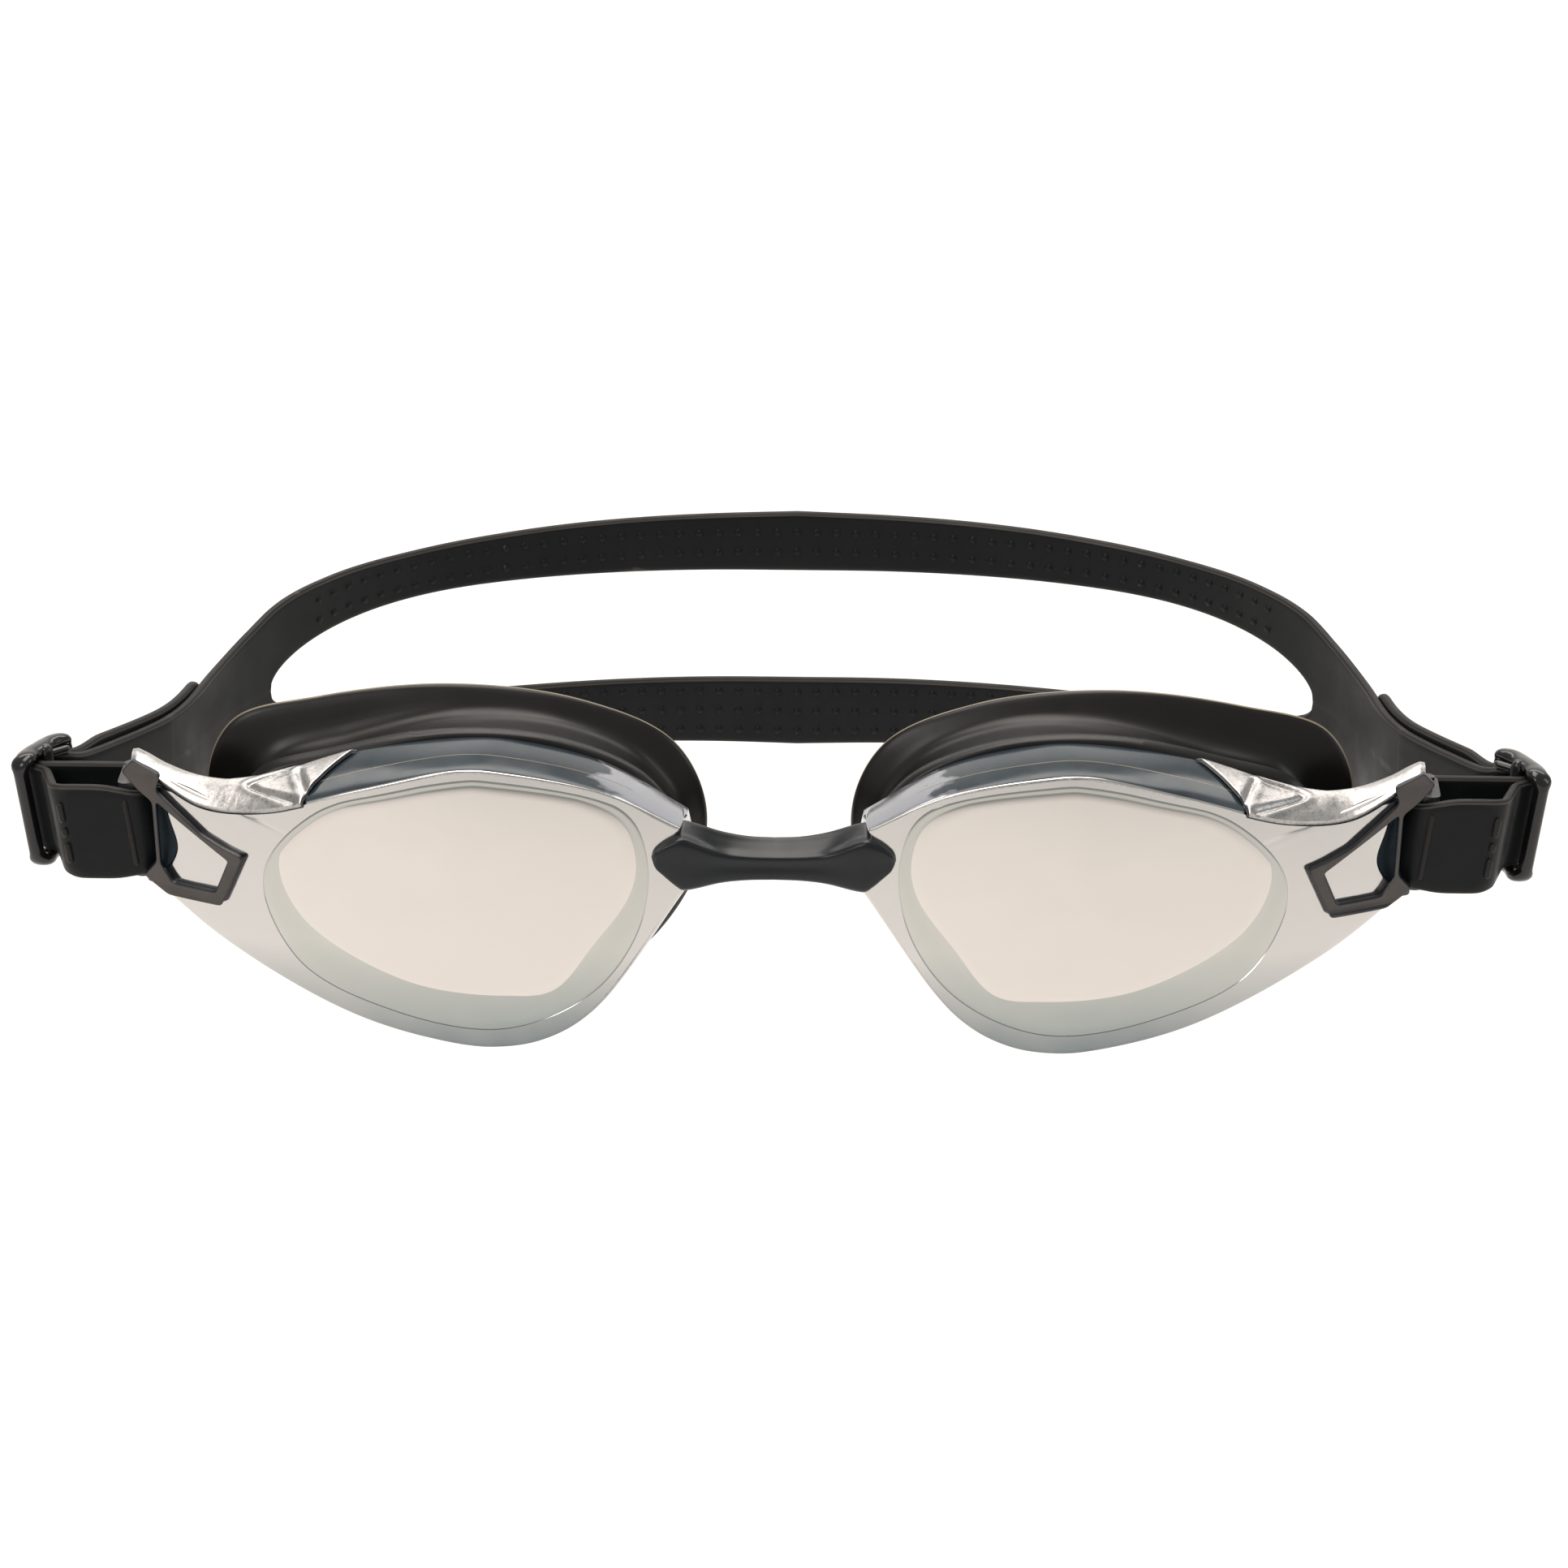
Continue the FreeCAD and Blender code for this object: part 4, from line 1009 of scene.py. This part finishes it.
def make_strap_end(side, label):
    """The strap from its joint round the buckle and the post, and its free tail."""
    track = np.hstack(route_points(end_route(), 0.7))
    first = int(np.argmax(track[:, 0] >= STRAP_JOINT))
    before, after = track[first - 1], track[first]
    share = (STRAP_JOINT - before[0]) / (after[0] - before[0])
    track = np.vstack([before + (after - before) * share, track[first:]])
    along = lengths_along(track[:, :2])
    total = along[-1]
    slope = math.tan(LEAN)
    loops = []
    for place, (x, y, nx, ny) in zip(along, track):
        behind = y > 4.0
        from_rear = behind and place < TAIL_LENGTH
        is_tail = behind and place > total - TAIL_LENGTH
        low, top = STRAP_MIDDLE - STRAP_WIDTH / 2, STRAP_MIDDLE + STRAP_WIDTH / 2
        lean = slope
        if from_rear or is_tail:
            band_low, band_top = band_edges(x)
            settle = smoothstep((x - 84.0) / 4.0)
            low = band_low + (low - band_low) * settle
            top = band_top + (top - band_top) * settle
            lean *= smoothstep((x - STRAP_JOINT) / 10.0)
        if is_tail:
            top += 0.7 * smoothstep((y - 6.0) / 4.0)
        if y < 0.0:
            full = math.exp(-((x - BAR[0] + 5.8) / 4.2) ** 4)
            wider = 0.55 * full - 0.3 * smoothstep((78.5 - x) / 3.0)
            low -= wider
            top += wider
        ends = min(1.0, (total - place) / 0.9 + 0.35)
        rounding = np.clip((place - total + 3.0) / 3.0, 0.0, 1.0)
        top -= 3.0 * (1 - math.sqrt(max(0.0, 1 - rounding ** 2)))
        section = band_section(low, top, STRAP_THICK * ends, 0.5, 0.5)
        loops.append([(x + nx * across + lean * (z - STRAP_MIDDLE),
                       y + ny * across, z) for across, z in section])
    parts = [skin(loops, True, True, True)]
    kinds = edge_kinds(parts[0], len(loops))
    face = LOOP_FRONT - STRAP_THICK / 2

    def mark(x, low, high, radius, sunk, flat):
        low_end, high_end = ((x + slope * (z - STRAP_MIDDLE), face + sunk, z)
                             for z in (low, high))
        return capsule(low_end, high_end, radius, flat=(1, flat, 1))

    parts.append(mark(RIB_X, 2.2, 9.9, 0.34, 0.0, 0.7))
    for low, high in ((7.6, 9.4), (5.75, 6.15), (2.4, 4.2)):
        parts.append(mark(BAR[0] - 2.75, low, high, 0.38, 0.1, 0.8))
    shape = join(parts)
    kinds += [0] * (len(shape[1]) - len(kinds))
    piece = make_piece(label + "_strap_loop", shape, [STRAP, STRAP_EDGE_HIGHLIGHT], "front",
                       side, [label + "_strap_end"], kinds, 50.0)
    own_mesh(piece)
    return piece


# -------- buckle


def lean_out(points):
    """Points of the upright buckle, about its middle bar, leaned and set in place."""
    c, s = math.cos(LEAN), math.sin(LEAN)
    return [(BAR[0] + x * c + z * s, BAR[1] + y, BAR[2] - x * s + z * c) for x, y, z in points]


def make_buckle(side, label):
    """Slide with two rails; its end bars arch over the middle bar in a flat S."""
    half = 6.4
    front, rear = np.array([2.75, -3.9]), RAIL_REAR
    arch = [(*front, half - 1.3), (front[0] - 0.1, front[1] + 0.15, half - 0.35),
            (front[0] - 0.6, front[1] + 0.8, half + 0.10), (1.75, -1.3, half + 0.12),
            (0.9, 0.6, half + 0.05), (0.2, 2.2, half - 0.05),
            (rear[0] + 0.6, rear[1] - 1.0, half - 0.12),
            (rear[0] + 0.1, rear[1] - 0.2, half - 0.45), (*rear, half - 1.4)]
    top = spline(arch, 52)
    bottom = top[::-1] * np.array([1, 1, -1])
    run_down = np.linspace(top[-1], bottom[0], 16)[1:-1]
    run_up = np.linspace(bottom[-1], top[0], 16)[1:-1]
    path = np.vstack([top, run_down, bottom, run_up])
    count = len(path)
    plate_way = unit(front - rear)
    plate_normal = np.array([-plate_way[1], plate_way[0], 0.0])
    loops = []
    for i in range(count):
        way = unit(path[(i + 1) % count] - path[i - 1])
        outward = unit(np.cross(way, plate_normal))
        across = np.cross(outward, way)
        lying = smoothstep((abs(path[i][2]) - 5.0) / 1.2)
        wide, tall = 0.90 + 0.42 * lying, 0.86 - 0.06 * lying
        loop = []
        for k in range(20):
            turn = 2 * math.pi * k / 20
            c, s = (math.copysign(abs(v) ** 0.85, v) for v in (math.cos(turn), math.sin(turn)))
            loop.append(path[i] + outward * c * tall + across * s * wide)
        loops.append(lean_out(loop))
    loops.append(loops[0])
    return make_piece(label + "_buckle_slide_frame", skin(loops), [BUCKLE], label + "_buckle",
                      side, [label + "_buckle_frame"], sharp=60.0)


def make_bar(side, label):
    """Middle bar with a small round lug towards the head at its upper end."""
    bar = capsule((0, 0, -6.3), (0, 0, 6.3), 0.88, 18)
    lug = capsule((-0.4, 0.3, 5.75), (-2.3, 1.2, 5.75), 0.50)
    vertices, faces = join([bar, lug])
    return make_piece(label + "_buckle_middle_bar", (lean_out(vertices), faces), [BUCKLE],
                      label + "_slider", side, [label + "_buckle_bar"],
                      sharp=60.0)


# -------- stage, lights and camera


FLOOR_HEIGHT = -0.125          # this and the rest of the stage are in metres


def make_floor():
    """Pale floor that sweeps up behind."""
    low = FLOOR_HEIGHT
    profile = [(-2.2, low), (1.0, low)]
    profile += [(1.0 + 0.5 * math.sin(t), low + 0.5 * (1 - math.cos(t)))
                for t in np.linspace(0.15, math.pi / 2, 12)]
    profile.append((1.5, 1.9))
    rows = [[(x, y, z) for y, z in profile] for x in (-2.2, 2.2)]
    vertices = [p for row in rows for p in row]
    count = len(profile)
    faces = [(k, k + count, k + count + 1, k + 1) for k in range(count - 1)]
    mesh = bpy.data.meshes.new("floor")
    mesh.from_pydata(vertices, [], faces)
    mesh.polygons.foreach_set("use_smooth", [True] * len(mesh.polygons))
    material, tree, shader, place = node_tree("floor_paper")
    tree.links.new(ramp(tree, noise(tree, place, 60.0, 2.0),
                        [(0.3, (0.90, 0.895, 0.885)), (0.7, (0.92, 0.915, 0.905))]),
                   shader.inputs["Base Color"])
    shader.inputs["Roughness"].default_value = 0.9
    mesh.materials.append(material)
    floor = bpy.data.objects.new("floor", mesh)
    bpy.context.scene.collection.objects.link(floor)


def area_light(name, place, target, size, power, color=(1, 1, 1)):
    data = bpy.data.lights.new(name, "AREA")
    data.shape = "RECTANGLE"
    data.size, data.size_y = size
    data.energy = power
    data.color = color
    light = bpy.data.objects.new(name, data)
    bpy.context.scene.collection.objects.link(light)
    light.location = place
    way = np.array(target) - np.array(place)
    light.rotation_euler = Vector(way).to_track_quat("-Z", "Y").to_euler()


def make_lights():
    world = bpy.data.worlds.new("studio")
    bpy.context.scene.world = world
    world.use_nodes = True
    sky = world.node_tree.nodes["Background"]
    sky.inputs["Color"].default_value = (1.0, 0.985, 0.96, 1)
    sky.inputs["Strength"].default_value = 0.42
    area_light("overhead", (-0.1, 0.12, 1.0), (0, 0.05, 0), (0.9, 0.55), 7.6, (1.0, 0.94, 0.88))
    area_light("front_left", (-0.9, -1.1, 0.9), (0, 0, 0), (0.6, 0.6), 5.0, (1.0, 0.98, 0.95))
    area_light("backdrop", (0, 0.95, 1.05), (0, 0.95, 0), (2.0, 0.4), 9.0, (1.0, 0.96, 0.92))
    area_light("right_side", (1.2, -0.2, 0.5), (0, 0, 0), (0.3, 0.7), 1.6, (0.9, 0.95, 1.0))


def make_camera():
    azimuth, elevation, distance = math.radians(1.8), math.radians(20.0), 0.8
    target = np.array([0.0006, 0.0, 0.0096])
    back = np.array([math.sin(azimuth) * math.cos(elevation),
                     -math.cos(azimuth) * math.cos(elevation), math.sin(elevation)])
    data = bpy.data.cameras.new("camera")
    data.sensor_width = 36.0
    data.lens = 150.6
    data.clip_start = 0.01
    camera = bpy.data.objects.new("camera", data)
    bpy.context.scene.collection.objects.link(camera)
    camera.location = target + back * distance
    camera.rotation_euler = Vector(-back).to_track_quat("-Z", "Y").to_euler()
    bpy.context.scene.camera = camera


make_camera()
make_lights()
make_floor()
bpy.context.scene.view_settings.view_transform = "Standard"

for side, label in ((-1, "left"), (1, "right")):
    make_lens(side, label)
    make_brow(side, label)
    make_gasket(side, label)
    make_clip(side, label)
    make_strap_end(side, label)
    make_buckle(side, label)
    make_bar(side, label)
    for node, material in (("_gasket_frame", CARRIER), ("_strap_post", CARRIER)):
        carried = frame["nodes"][label + node]
        carried.data.materials.clear()
        carried.data.materials.append(material)
make_bridge()
head = make_head_strap()
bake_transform(head)
